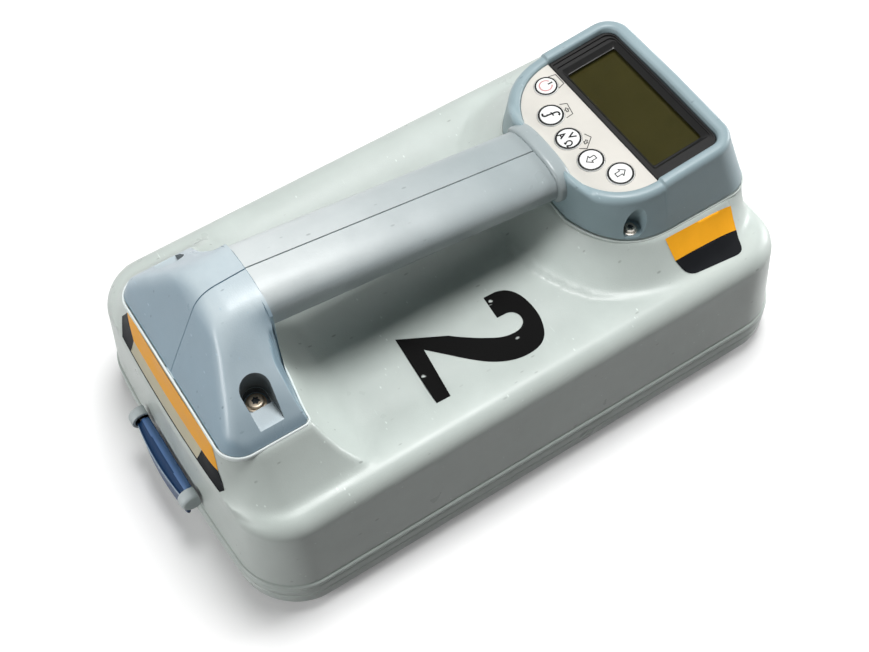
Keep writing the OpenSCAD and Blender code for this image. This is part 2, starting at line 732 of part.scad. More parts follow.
module induction_winding() {
    margin = 14;
    color([0.72, 0.42, 0.18]) place() translate([0, core_front_y - margin, core_z]) rotate([90, 0, 0])
        difference() {
            cylinder(r = core_r + winding_t, h = core_front_y - core_rear_y - 2 * margin);
            translate([0, 0, -1]) cylinder(r = core_r + pin_gap, h = core_front_y - core_rear_y);
        }
}

// Panel in the left wall that carries the output and power sockets
socket_front_y = side_pt(border_n - socket_from, 0)[1];
socket_rear_y = side_pt(border_n - socket_to, 0)[1];
socket_mid_y = (socket_front_y + socket_rear_y) / 2;
socket_x = -body_w / 2 + draft / 2;
socket_reach = 0.75 * (body_w / 2 - cradle_w2 - draft - seat_gap);
module socket_panel() {
    span = socket_front_y - socket_rear_y - 2 * run_gap;
    slack = 2 * run_gap + draft * socket_h / wall_h;
    color([0.2, 0.2, 0.22]) place() difference() {
        translate([socket_x + slack - 1, socket_mid_y - span / 2, socket_low_z + run_gap])
            cube([socket_reach, span, socket_h - 2 * run_gap]);
        translate([socket_x - 5, socket_mid_y + span / 4, socket_z]) rotate([0, 90, 0])
            cylinder(r = socket_r, h = socket_reach + 2);
        translate([socket_x - 5, socket_mid_y - span / 4, socket_z]) rotate([0, 90, 0])
            cylinder(r = socket_r - 1.4, h = socket_reach + 2);
    }
}

// Hinge at the front end: knuckles of the housing's leaf outside, of the tray's leaf between them
knuckle_l = 12;
knuckle_gap = 0.3;
leaf_t = 2;
module hinge_knuckle(x, length, bore_r) {
    translate([x - length / 2, hinge_y, hinge_z]) rotate([0, 90, 0]) difference() {
        cylinder(r = hinge_r, h = length);
        translate([0, 0, -1]) cylinder(r = bore_r, h = length + 2);
    }
}

module housing_hinge_leaf() {
    y0 = body_l / 2 + bead_out + seat_gap;
    top = hinge_z + 16;
    color("gray") place() for (s = [-1, 1]) {
        x = s * (knuckle_l + knuckle_gap);
        hinge_knuckle(x, knuckle_l, pin_r + pin_gap);
        difference() {
            translate([x - knuckle_l / 2, y0, hinge_z]) cube([knuckle_l, leaf_t, top - hinge_z]);
            translate([x - knuckle_l, hinge_y, hinge_z]) rotate([0, 90, 0])
                cylinder(r = hinge_r - 0.4, h = 2 * knuckle_l);
        }
    }
}

module hinge_pin() {
    half = 1.5 * knuckle_l + knuckle_gap;
    color("silver") place() translate([-half, hinge_y, hinge_z]) rotate([0, 90, 0]) {
        cylinder(r = pin_r, h = 2 * half);
        for (z = [-1, 2 * half]) translate([0, 0, z]) cylinder(r = pin_r + 0.8, h = 1);
    }
}

module tray_hinge_leaf() {
    y0 = body_l / 2 + bead_out + seat_gap;
    low = tray_floor_z - 0.8;
    color("gray") place() {
        hinge_knuckle(0, knuckle_l, pin_r + pin_gap);
        difference() {
            translate([-knuckle_l / 2, y0, low]) cube([knuckle_l, leaf_t, hinge_z - low]);
            translate([-knuckle_l, hinge_y, hinge_z]) rotate([0, 90, 0])
                cylinder(r = hinge_r - 0.4, h = 2 * knuckle_l);
        }
    }
}

// Latch at the rear end: two ears on the wall, a pin through them and the lever between
ear_t = 6;
lever_t = 3.6;
barrel_r = pin_r + 2;
latch_plate_y = -body_l / 2 - bead_out + 1.2;
module latch_bracket() {
    half = latch_l / 2 + run_gap;
    color(housing_grey) place() {
        difference() {
            for (x = [-half - ear_t, half]) translate([x, latch_y, latch_z]) rotate([0, 90, 0])
                cylinder(r = ear_r, h = ear_t);
            translate([-half - 2 * ear_t, latch_plate_y, latch_z - 3 * ear_r])
                cube([2 * half + 4 * ear_t, 4 * ear_r, 6 * ear_r]);
            translate([-half - 2 * ear_t, latch_y, latch_z]) rotate([0, 90, 0])
                cylinder(r = pin_r + pin_gap, h = 2 * half + 4 * ear_t);
        }
    }
}

module latch_pin() {
    half = latch_l / 2 + run_gap + ear_t - 0.5;
    color("silver") place() translate([-half, latch_y, latch_z]) rotate([0, 90, 0])
        cylinder(r = pin_r, h = 2 * half);
}

// Lever: a barrel on the pin with a broad nose, a plate that hangs over the tray's edge and a lip
lever_nose = 1.8;
lever_out_y = latch_y - lever_nose - barrel_r;
lever_low_z = rim_z - 6;
module latch_lever() {
    color(latch_blue) place() translate([-latch_l / 2, 0, 0]) difference() {
        union() {
            for (y = [latch_y, latch_y - lever_nose]) translate([0, y, latch_z]) rotate([0, 90, 0])
                cylinder(r = barrel_r, h = latch_l);
            translate([0, latch_y - lever_nose, latch_z - barrel_r])
                cube([latch_l, lever_nose, 2 * barrel_r]);
            translate([0, lever_out_y, lever_low_z]) cube([latch_l, lever_t, latch_z - lever_low_z]);
            translate([0, lever_out_y + lever_t / 2, lever_low_z]) rotate([0, 90, 0])
                cylinder(r = lever_t / 2, h = latch_l);
        }
        translate([-1, latch_y, latch_z]) rotate([0, 90, 0]) cylinder(r = pin_r + pin_gap, h = latch_l + 2);
    }
}

// Shallow tray under the parting line, with a lip that locates it inside the housing
module base_tray() {
    out = lean(rim_z) - bead_out;
    lip = lean(rim_z) + wall + run_gap;
    floor_in = lip + 2;
    low = foot_pad_h;
    outer = [[out + tray_round, low], [out + tray_round * 0.3, low + 1.5], [out, low + tray_round],
        [out, tray_top_z], [lip, tray_top_z], [lip, tray_top_z + lip_h], [floor_in, tray_top_z + lip_h],
        [floor_in + 1, tray_floor_z]];
    pts = [for (w = outer) for (p = border(w[0])) [p[0], p[1], w[1]]];
    m = len(outer);
    color(housing_grey) place() polyhedron(pts, concat(
        [for (k = [0:m - 2]) for (q = [0:border_n - 1]) let (n = (q + 1) % border_n)
            [k * border_n + n, k * border_n + q, (k + 1) * border_n + q, (k + 1) * border_n + n]],
        [[for (q = [0:border_n - 1]) q]],
        [[for (q = [border_n - 1:-1:0]) (m - 1) * border_n + q]]), convexity = 6);
}

pad_r = 9;
module tray_feet() {
    color([0.12, 0.12, 0.12]) place() for (x = [-1, 1]) for (y = [-1, 1])
        translate([x * (body_w / 2 - 32), y * (body_l / 2 - 32), 0]) cylinder(r = pad_r, h = foot_pad_h);
}

// Cradle that holds the cells: a floor, ribs between the cells and end walls for the contacts
contact_t = 0.8;
module cell_cradle() {
    z = tray_floor_z + seat_gap / 2;
    end_h = cell_d * 0.8;
    rear = cells_rear_y - contact_t - 2.6;
    front = cells_front_y + contact_t + 2.6;
    color([0.1, 0.1, 0.1]) place() translate([0, 0, z]) {
        translate([-cradle_w2, rear, 0]) cube([2 * cradle_w2, front - rear, cradle_t]);
        for (y = [rear, front - 2]) translate([-cradle_w2, y, 0]) cube([2 * cradle_w2, 2, end_h]);
        for (k = [-2:2]) translate([k * cell_pitch - 0.4, rear, 0]) cube([0.8, front - rear, cell_d * 0.4]);
    }
}

module battery_cells() {
    color([0.28, 0.30, 0.33]) place() for (k = [-1.5:1:1.5]) for (row = [0, 1])
        translate([k * cell_pitch, cells_rear_y + row * (cell_l + cell_gap), cell_z]) rotate([-90, 0, 0]) {
            cylinder(r = cell_d / 2, h = cell_l - 1.5);
            translate([0, 0, cell_l - 1.5]) cylinder(r = cell_d * 0.14, h = 1.5);
        }
}

module battery_contacts() {
    z = tray_floor_z + cradle_t + 6;
    color("gainsboro") place() for (k = [-1.5:1:1.5])
        for (y = [cells_rear_y - contact_t - 0.3, cells_front_y + 0.3])
            translate([k * cell_pitch - 6, y, z]) cube([12, contact_t, 18]);
}

upper_housing();
handle_left();
handle_right();
handle_screws();
head_housing();
head_screws();
display_frame();
display_window();
lcd_panel();
keypad_membrane();
keypad_board();
key_power();
key_frequency();
key_measure();
key_down();
key_up();
chassis();
main_board();
ribbon_cable();
sounder();
output_transformer();
ferrite_core();
induction_winding();
socket_panel();
housing_hinge_leaf();
hinge_pin();
latch_bracket();
latch_pin();
latch_lever();
base_tray();
tray_feet();
tray_hinge_leaf();
cell_cradle();
battery_cells();
battery_contacts();
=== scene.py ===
# %% [markdown]
# # A cable locator's signal transmitter
# The real thing is a moulded box with a carrying handle, a display head, five keys, a latch and
# a battery tray. The packed CAD model is loaded first and stays the fixed frame: every piece below
# is drawn in the same place, in millimetres, and rides on one of the CAD bodies.

# %% Load the frame
import bmesh
import bpy
import math
import numpy as np
from mathutils import Matrix, Vector
from mathutils.geometry import delaunay_2d_cdt


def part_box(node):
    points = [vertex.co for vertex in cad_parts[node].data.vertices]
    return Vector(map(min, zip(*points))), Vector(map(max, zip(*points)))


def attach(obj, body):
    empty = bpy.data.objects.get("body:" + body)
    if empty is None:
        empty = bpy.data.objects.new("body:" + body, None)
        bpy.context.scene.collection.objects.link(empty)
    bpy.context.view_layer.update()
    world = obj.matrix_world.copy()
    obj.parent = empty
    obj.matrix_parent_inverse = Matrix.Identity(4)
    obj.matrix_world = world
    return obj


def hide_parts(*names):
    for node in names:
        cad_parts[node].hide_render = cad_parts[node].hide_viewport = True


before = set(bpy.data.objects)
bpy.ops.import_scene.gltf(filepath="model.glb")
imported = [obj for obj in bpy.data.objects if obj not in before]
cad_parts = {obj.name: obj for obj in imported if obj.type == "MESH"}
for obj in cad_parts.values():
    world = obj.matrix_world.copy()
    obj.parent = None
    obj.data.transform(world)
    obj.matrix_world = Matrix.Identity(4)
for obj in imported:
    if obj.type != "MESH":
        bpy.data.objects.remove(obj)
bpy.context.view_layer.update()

# %% [markdown]
# ## Sizes that many pieces share
# They repeat the named values of the part's source, so the dressed pieces lie on the solids. The
# housing's middle is the origin here, and SHIFT moves it to the part's own origin, because hinge
# and latch don't reach out equally far.

# %% Shared sizes
MM = 0.001
SHIFT = np.array([0.0, 0.15, 0.0])
SIDES = ((1, "right"), (-1, "left"))
RIM_Z, SHOULDER_Z, SHOULDER_R = 20.0, 64.0, 10.0
HALF_W, END_Y, CORNER_R, DRAFT, WALL = 90.0, 154.0, 25.0, 4.0, 3.0
REAR_BOW, DISH, CREASE_Z = 4.0, 3.0, 72.0
FOOT_Z, FOOT_W2, FOOT_REAR, FOOT_FRONT = 99.0, 57.0, -145.0, -100.0
HEAD_Z, HEAD_MID, LCD_Y, DECK_Z, TILT = 91.0, 99.0, 116.0, 119.0, math.radians(5.2)
COLLAR_Y, GRIP_W2, GRIP_FRONT_H, GRIP_REAR_H = 59.5, 21.0, 21.5, 27.0
GRIP_Z, GRIP_RISE = 121.0, 24.5
LATCH_Y, LATCH_Z = -161.0, 34.0
print("housing %.0f x %.0f mm at its rim" % (2 * (HALF_W + DRAFT), 2 * (END_Y + DRAFT)))

# %% [markdown]
# ## Finishes
# The housing is moulded plastic that has seen some work: a fine grain, soft blotches, tiny pale
# chips and short rubbed lines. All of it comes from noise in object space, so the finish is the
# same from every side and needs no picture. A small class adds nodes to a tree and wires them, one
# function mixes the plastic, and each plastic gives its own colour, gloss and amount of wear.

# %% Node helpers
class NodeTree:
    def __init__(self, tree):
        self.nodes, self.links = tree.nodes, tree.links

    def wire(self, value, socket):
        if isinstance(value, (int, float)):
            socket.default_value = value
        elif isinstance(value, tuple):
            socket.default_value = (*value, 1)[:len(socket.default_value)]
        else:
            self.links.new(value, socket)

    def add(self, kind, **values):
        node = self.nodes.new(kind)
        for key, value in values.items():
            if key in node.inputs:
                self.wire(value, node.inputs[key])
            else:
                setattr(node, key, value)
        return node

    def noise(self, vector, scale, detail=2.0, rough=0.5):
        node = self.add("ShaderNodeTexNoise", Vector=vector, Scale=scale, Detail=detail,
                        Roughness=rough)
        return node.outputs["Fac"]

    def ramp(self, value, low, high, out_low=0.0, out_high=1.0):
        ends = {"From Min": low, "From Max": high, "To Min": out_low, "To Max": out_high}
        return self.add("ShaderNodeMapRange", Value=value, **ends).outputs["Result"]

    def combine(self, kind, a, b):
        node = self.add("ShaderNodeMath", operation=kind)
        for socket, value in zip(node.inputs, (a, b)):
            self.wire(value, socket)
        return node.outputs["Value"]

    def times(self, a, b):
        return self.combine("MULTIPLY", a, b)

    def tint(self, fac, a, b):
        node = self.add("ShaderNodeMix", data_type="RGBA")
        for number, value in ((0, fac), (6, a), (7, b)):
            self.wire(value, node.inputs[number])
        return node.outputs[2]

    def object_space(self, scale=(1, 1, 1), turn=(0, 0, 0)):
        here = self.add("ShaderNodeTexCoord").outputs["Object"]
        place = self.add("ShaderNodeMapping", Vector=here, Scale=scale, Rotation=turn)
        return place.outputs["Vector"]

    def part(self, vector, axis):
        return self.add("ShaderNodeSeparateXYZ", Vector=vector).outputs[axis]


print("a tree can", [name for name in vars(NodeTree) if name[0] != "_"])

# %% A finish and its shader
class Finish(NodeTree):
    def __init__(self, name, colour, rough, metal=0.0, shine=0.35):
        self.material = bpy.data.materials.new(name)
        self.material.use_nodes = True
        super().__init__(self.material.node_tree)
        self.shader = self.nodes["Principled BSDF"]
        self.put("Base Color", colour)
        self.put("Roughness", rough)
        self.put("Metallic", metal)
        self.put("Specular IOR Level", shine)

    def put(self, key, value):
        self.wire(value, self.shader.inputs[key])

    def bump(self, height, strength, distance):
        node = self.add("ShaderNodeBump", Height=height, Strength=strength, Distance=distance)
        self.put("Normal", node.outputs["Normal"])


def scaled(colour, k, extra=0.0):
    return tuple(min(1, c * k + extra) for c in colour)


print("a paler grey:", scaled((0.5, 0.5, 0.5), 1.05, 0.006))

# %% [markdown]
# Dents and chips are the middles of Voronoi cells, kept only where a second noise is high. The
# handle is paler on top and towards its rear: partly wear from hands, partly a painted highlight
# where the light falls. So that finish also asks which way a face looks and how far back it lies.

# %% The worn moulded plastic
def nicks(finish, stretch, turn, scale, where):
    place = finish.object_space(stretch, turn)
    cells = finish.add("ShaderNodeTexVoronoi", Vector=place, Scale=scale, Randomness=1.0)
    near = finish.ramp(cells.outputs["Distance"], 0.07, 0.13, 1.0, 0.0)
    return finish.times(near, finish.ramp(finish.noise(place, 75), *where))


def lit_and_worn_top(finish, shade):
    # Painted highlight as well as wear: faces that look up, towards the handle's rear, are painted
    # paler.
    normal = finish.add("ShaderNodeNewGeometry").outputs["Normal"]
    upward = finish.ramp(finish.part(normal, "Z"), 0.45, 0.90)
    toward_rear = finish.ramp(finish.part(finish.object_space(), "Y"), 0.03, -0.08)
    patchy = finish.ramp(shade, 0.0, 1.0, 0.6, 1.0)
    return finish.times(finish.times(upward, toward_rear), patchy)


def moulded(name, colour, rough, wear=1.0, grain=0.10, shine=0.35, busy=0.0, lit_worn_top=None):
    finish = Finish(name, colour, rough, shine=shine)
    here = finish.object_space()
    shade = finish.ramp(finish.noise(here, 22, 5, 0.6), 0.3, 0.7)
    body = finish.tint(shade, scaled(colour, 0.93), scaled(colour, 1.05, 0.006))
    if lit_worn_top:
        body = finish.tint(lit_and_worn_top(finish, shade), body, lit_worn_top)
    dents = nicks(finish, (1, 0.4, 0.7), (0.2, 0.1, 0.6), 210, (0.54 - busy, 0.60 - busy))
    chips = nicks(finish, (0.5, 1, 0.8), (0.1, 0.3, -0.4), 260, (0.57 - busy, 0.62 - busy))
    lines = finish.noise(finish.object_space((60, 900, 400), (0.3, 0.2, 0.7)), 1.0)
    line_where = finish.ramp(finish.noise(here, 30), 0.55, 0.68)
    rubs = finish.times(finish.ramp(lines, 0.70, 0.76), line_where)
    dented = finish.times(dents, 0.55 * wear)
    marked = finish.times(finish.combine("MAXIMUM", chips, rubs), 0.65 * wear)
    dull = finish.tint(dented, body, scaled(colour, 0.45))
    finish.put("Base Color", finish.tint(marked, dull, scaled(colour, 1.30, 0.08)))
    gloss = finish.noise(here, 45, 4)
    finish.put("Roughness", finish.ramp(gloss, 0.3, 0.7, rough - 0.05, rough + 0.07))
    deep = finish.times(dents, 2.0 * wear)
    finish.bump(finish.combine("SUBTRACT", finish.noise(here, 1500), deep), grain, 0.0006)
    return finish.material


print("plastic mixer ready")

# %% The plastics
housing_plastic = moulded("housing_grey_green", (0.52, 0.575, 0.545), 0.32, busy=0.02)
# The paler top colours of grip and foot stand for wear and for a painted highlight.
grip_plastic = moulded("grip_silver_grey", (0.33, 0.38, 0.39), 0.32, 0.8, shine=0.5, busy=0.04,
                       lit_worn_top=(0.62, 0.66, 0.66))
foot_plastic = moulded("foot_blue_grey", (0.23, 0.33, 0.40), 0.32, shine=0.5, busy=0.06,
                       lit_worn_top=(0.56, 0.64, 0.67))
head_plastic = moulded("head_blue_grey", (0.28, 0.37, 0.40), 0.36, 0.7, busy=0.03)
# A pale finish for the foot's seat edge: a painted highlight as well as wear.
seat_edge = moulded("seat_edge_painted_highlight", (0.74, 0.80, 0.79), 0.32, 0.3, 0.05)
latch_plastic = moulded("latch_blue", (0.010, 0.040, 0.11), 0.34, 0.4, shine=0.14)
# Lit copies of the lever's blue: painted highlights for its lip and for its back over the pin.
lever_lip_highlight = moulded("lever_lip_painted_highlight", (0.26, 0.34, 0.42), 0.35, 0.3)
lever_back_lit = moulded("lever_back_painted_light", (0.075, 0.16, 0.34), 0.30, 0.4)
ear_plastic = moulded("latch_ear_grey", (0.46, 0.51, 0.52), 0.42, 0.4)
# Painted shade: a dark finish for the walls of the foot's pockets and inside the screws' recesses.
painted_recess_shade = moulded("painted_recess_shade", (0.10, 0.12, 0.13), 0.55, 0.2)
dark_plastic = moulded("inner_dark", (0.055, 0.058, 0.062), 0.5, 0.3)
rubber = moulded("foot_rubber", (0.03, 0.03, 0.032), 0.75, 0.2, 0.3)
print("finishes so far:", len(bpy.data.materials))

# %% [markdown]
# Black gloss, film, metal and print are simpler: a little unevenness in gloss and colour is what
# tells them from flat paint.

# %% The smaller finishes
def plain(name, colour, rough, metal=0.0, scale=80.0, spread=0.10, stretch=(1, 1, 1), bump=0.05,
          shine=0.35):
    finish = Finish(name, colour, rough, metal, shine)
    value = finish.noise(finish.object_space(stretch), scale, 4, 0.6)
    shade = finish.ramp(value, 0.25, 0.75)
    finish.put("Base Color",
               finish.tint(shade, scaled(colour, 1 - spread), scaled(colour, 1 + spread)))
    finish.put("Roughness", finish.ramp(value, 0.3, 0.7, max(0.02, rough - 0.06), rough + 0.08))
    finish.bump(value, bump, 0.0003)
    return finish.material


bezel_black = plain("bezel_black", (0.012, 0.012, 0.012), 0.14, scale=240, shine=0.16)
membrane_film = plain("membrane_beige", (0.64, 0.62, 0.57), 0.42, scale=50, spread=0.05)
key_white = plain("key_white", (0.86, 0.87, 0.86), 0.35, scale=90, spread=0.03)
print_black = plain("print_black", (0.008, 0.008, 0.008), 0.45, scale=300, shine=0.15)
print_red = plain("print_red", (0.60, 0.30, 0.30), 0.45, scale=300)
lcd_olive = plain("lcd_olive", (0.050, 0.045, 0.011), 0.30, scale=60, spread=0.12, shine=0.03)
steel = plain("bright_steel", (0.58, 0.55, 0.50), 0.28, 1.0, 400, 0.15, (1, 8, 1), 0.15)
bronze = plain("screw_bronze", (0.86, 0.72, 0.56), 0.38, 0.5, 500, 0.2)
hinge_metal = plain("hinge_grey", (0.30, 0.33, 0.34), 0.42, 0.6, 200, 0.12)
copper = plain("copper_wire", (0.55, 0.26, 0.10), 0.35, 1.0, 900, 0.25, (1, 6, 1), 0.4)
ferrite = plain("ferrite_dark", (0.05, 0.05, 0.055), 0.55, 0.0, 500, 0.2)
board_green = plain("board_green", (0.03, 0.13, 0.06), 0.40, 0.0, 350, 0.3)
cable_grey = plain("cable_grey", (0.50, 0.50, 0.52), 0.50, 0.0, 800, 0.12, (14, 1, 1), 0.3)
cell_jacket = plain("cell_jacket", (0.10, 0.11, 0.13), 0.30, 0.4, 120, 0.2)
label_amber = plain("label_amber", (0.95, 0.42, 0.022), 0.36, scale=70, spread=0.06, shine=0.06)
label_black = plain("label_black", (0.012, 0.013, 0.015), 0.45, scale=120, shine=0.03)
label_cream = plain("label_cream", (0.58, 0.54, 0.40), 0.40, scale=70, spread=0.08, shine=0.06)
print("finishes in all:", len(bpy.data.materials))

# %% [markdown]
# The display's window is clear plastic, so it lets the olive panel show and adds a faint haze.

# %% The window
window = Finish("window_clear", (0.05, 0.045, 0.014), 0.05, shine=0.05)
window.put("Alpha", 0.12)
haze = window.noise(window.object_space((1, 0.5, 1), (0, 0, 0.5)), 55, 4, 0.6)
window.put("Roughness", window.ramp(haze, 0.35, 0.7, 0.03, 0.12))
print("window alpha", window.shader.inputs["Alpha"].default_value)

# %% [markdown] ## How a piece is made Every shape is a set of points and faces worked out in
# millimetres.

# %% Rings of points
def columns(*parts):
    return np.column_stack(np.broadcast_arrays(*parts))


def level(plan, z):
    return columns(plan[:, 0], plan[:, 1], z)


def full_turn(count):
    return np.linspace(0, 2 * math.pi, count + 1)[:-1]


def circle(centre, r, count=48):
    a = full_turn(count)
    return columns(centre[0] + r * np.cos(a), centre[1] + r * np.sin(a))


def mirrored(half):
    return np.concatenate([half, (half * [-1, 1])[::-1][1:-1]])


def loft(rings, capped=False, join_ends=False):
    count, size = len(rings), len(rings[0])
    faces = []
    for k in range(count if join_ends else count - 1):
        n = (k + 1) % count
        for q in range(size):
            r = (q + 1) % size
            faces.append((k * size + q, k * size + r, n * size + r, n * size + q))
    if capped:
        faces += [tuple(range(size)), tuple(range((count - 1) * size, count * size))]
    return np.concatenate(rings), faces


print("a full turn in four:", full_turn(4))

# %% From points to a piece
def stand(name, data):
    thing = bpy.data.objects.new(name, data)
    bpy.context.scene.collection.objects.link(thing)
    return thing


def shade_smooth(mesh, sharp):
    mesh.shade_smooth()
    mesh.set_sharp_from_angle(angle=math.radians(sharp))


def make_piece(name, shape, material, slot, *nodes, body="housing", sharp=38.0):
    points, faces = shape
    mesh = bpy.data.meshes.new(name)
    mesh.from_pydata(((np.asarray(points, float) + SHIFT) * MM).tolist(), [],
                     [list(map(int, f)) for f in faces])
    work = bmesh.new()
    work.from_mesh(mesh)
    bmesh.ops.remove_doubles(work, verts=work.verts, dist=1e-7)
    bmesh.ops.recalc_face_normals(work, faces=work.faces)
    work.to_mesh(mesh)
    work.free()
    shade_smooth(mesh, sharp)
    mesh.materials.append(material)
    piece = stand(name, mesh)
    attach(piece, body)
    if nodes:
        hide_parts(*nodes)
    print(name, len(mesh.polygons), "faces")
    return piece


def repaint(piece, finish, chosen):
    piece.data.materials.append(finish)
    for face in piece.data.polygons:
        if chosen(*(np.array(face.center) / MM - SHIFT), face.normal.z):
            face.material_index = len(piece.data.materials) - 1


print("pieces can be made")

# %% [markdown]
# ## The moulded housing
# This is the form that takes most skill: a dished valley under the handle, a rounded shoulder all
# round, and two plinths with hollow flanks that carry the handle's foot and the head. It could be
# modelled by hand with subdivision surfaces. Here the height of the top is a formula instead, so
# label, numeral and foot can ask for the height at any place. soft_max and soft_min round the
# lines where two surfaces meet.

# %% Outline and shoulder
def ease(t):
    t = np.clip(t, 0, 1)
    return t * t * (3 - 2 * t)


def soft_max(a, b, k):
    return np.maximum(a, b) + np.maximum(k - np.abs(a - b), 0) ** 2 / (4 * k)


def soft_min(a, b, k):
    return -soft_max(-a, -b, k)


def bow(x, y):
    return REAR_BOW * (x / HALF_W) ** 2 * ease((-y - 79) / 79)


def corner_distance(qx, qy):
    return np.hypot(np.maximum(qx, 0), np.maximum(qy, 0)) + np.minimum(np.maximum(qx, qy), 0)


def slot_distance(x, y, half, rear, r):
    return corner_distance(np.abs(x) - (half - r), rear + r - y) - r


def inset_at(x, y):
    qx, qy = np.abs(x) - (HALF_W - CORNER_R), np.abs(y - bow(x, y)) - (END_Y - CORNER_R)
    return CORNER_R - corner_distance(qx, qy)


def floor_height(e):
    side = SHOULDER_R - np.clip(e, 0, SHOULDER_R)
    arc_height = np.sqrt(np.maximum(SHOULDER_R ** 2 - side ** 2, 0))
    return SHOULDER_Z + arc_height - DISH * ease((e - SHOULDER_R) / 25)


def flank(t, high, power):
    rounded = np.clip(0.5 * (t + np.sqrt(t * t + 0.0012)), 0, 1)
    return np.where(t < 1, CREASE_Z + (high - CREASE_Z) * (1 - rounded) ** power, 0.0)


print("shoulder top at %.1f" % float(floor_height(np.array(SHOULDER_R))))

# %% The two plinths
PLINTH_W2, SCOOP_RISE, SCOOP_LONG = 82.0, 29.5, 35.0


def foot_front(x):
    return FOOT_FRONT - 0.2 - 4.0 * ease((np.abs(x) - 22) / 35)


def rear_plinth(x, y):
    back = y - bow(x, y)
    inner = slot_distance(x, back, FOOT_W2 + 1.5, FOOT_REAR - 1.5, 19)
    outer = -slot_distance(x, back, PLINTH_W2, -END_Y + 0.5, 24)
    t = np.where(outer > 0, inner / np.maximum(inner + outer, 1e-6), 1.0)
    side = flank(t, FOOT_Z, 1.35)
    reach = np.clip((foot_front(x) + SCOOP_LONG + 0.2 - y) / SCOOP_LONG, 0, 1.3)
    scoop = CREASE_Z - 1 + SCOOP_RISE * reach ** 3.4
    return np.where(side > 0, soft_min(side, scoop, 2.0), 0.0)


def gauge(u, v, power):
    return np.maximum(0.005, (u ** power + v ** power) ** (1 / power))


def front_plinth(x, y):
    across, along_y, behind = np.abs(x), np.abs(y - HEAD_MID), y < HEAD_MID
    near_u, far_u = across / 59, across / PLINTH_W2
    near = np.where(behind, gauge(near_u, along_y / 41, 2.4), gauge(near_u, along_y / 52, 7))
    far = np.where(behind, gauge(far_u, along_y / 65, 2.1), gauge(far_u, along_y / 53.8, 4))
    t = np.where(far < 1, (1 - 1 / near) / np.maximum(1 / far - 1 / near, 1e-3), 1.0)
    return flank(t, HEAD_Z, 1.5)


print("both plinths rise from the crease at", CREASE_Z)

# %% Height of the top
def top_height(x, y, e=None):
    e = inset_at(x, y) if e is None else e
    low, rear = floor_height(e), rear_plinth(x, y)
    # The valley's level must not lift the rounded shoulder at the display end.
    rear = np.where(y > 0, np.minimum(rear, low - 2.0 + 0.5 * e), rear)
    return soft_max(soft_max(low, rear, 2.0), front_plinth(x, y), 3.0)


def lean(z):
    return -DRAFT * (1 - (z - RIM_Z) / (SHOULDER_Z - RIM_Z))


print("valley floor %.1f, foot seat %.1f, head seat %.1f" % tuple(
    float(top_height(np.array(x), np.array(y)))
    for x, y in ((30.0, 0.0), (0.0, -120.0), (0.0, 100.0))))

# %% [markdown]
# The housing is a skin of rings: they climb the wall, turn over the shoulder and end in a grid over
# the middle. A second skin three millimetres further in gives it real thickness, because the inside
# shows when the battery tray swings down. The socket panel sits in an opening of the left wall.

# %% Plan of the housing
CROSS_N, CORNER_N, SIDE_N = 88, 20, 150
PANEL_GAP = 0.4
panel_low, panel_high = [np.array(c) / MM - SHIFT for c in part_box("socket_panel")]
hole_y = (panel_low[1] - PANEL_GAP, panel_high[1] + PANEL_GAP)
hole_z = (panel_low[2] - PANEL_GAP, panel_high[2] + PANEL_GAP)
side_y = np.linspace(-END_Y + CORNER_R, END_Y - CORNER_R, SIDE_N + 1)
hole_j = [int(np.argmin(np.abs(side_y - y))) for y in hole_y]
side_y[hole_j] = hole_y


def plan_skeleton():
    cx, cy = HALF_W - CORNER_R, END_Y - CORNER_R
    across = np.linspace(-cx, cx, CROSS_N + 1)
    turn = np.radians(np.linspace(0, 90, CORNER_N + 1))[1:]
    right = [(cx, -cy, math.sin(a), -math.cos(a)) for a in turn]
    right += [(cx, y, 1, 0) for y in side_y[1:]]
    right += [(cx, cy, math.cos(a), math.sin(a)) for a in turn]
    rear = [(x, -cy, 0, -1) for x in across]
    left = [(-x, y, -nx, ny) for x, y, nx, ny in right]
    front = [(x, cy, 0, 1) for x in across[::-1]][1:]
    return np.array(rear + right + front + left[::-1][1:])


skeleton = plan_skeleton()
BORDER_N = len(skeleton)
STATION_N = SIDE_N + 2 * CORNER_N


def border(e):
    plan = skeleton[:, :2] + skeleton[:, 2:] * (CORNER_R - e)
    plan[:, 1] += bow(plan[:, 0], plan[:, 1])
    return plan


print("border points", BORDER_N, "stations", STATION_N, "socket opening", hole_y, hole_z)

# %% One skin
INSET_MAX = CORNER_R - 4.0
bead = [(0, -4.3), (0.25, -4.65), (0.7, -4.8), (2.0, -4.78), (2.6, -4.55), (2.9, -3.9),
        (3.1, -3.0), (3.8, -3.0)]
wall_levels = [(RIM_Z + h, e) for h, e in bead]
wall_levels += [(z, lean(z)) for z in (RIM_Z + 4.1, *hole_z, 54.0, 60.0)]
hole_k = len(bead) + 1
top_insets = [SHOULDER_R * (1 - math.cos(math.radians(a))) for a in range(0, 91, 6)]
top_insets += list(np.linspace(SHOULDER_R, INSET_MAX, 9)[1:])


def top_ring(e, drop):
    plan = border(e)
    return level(plan, top_height(plan[:, 0], plan[:, 1], np.full(BORDER_N, e)) - drop)


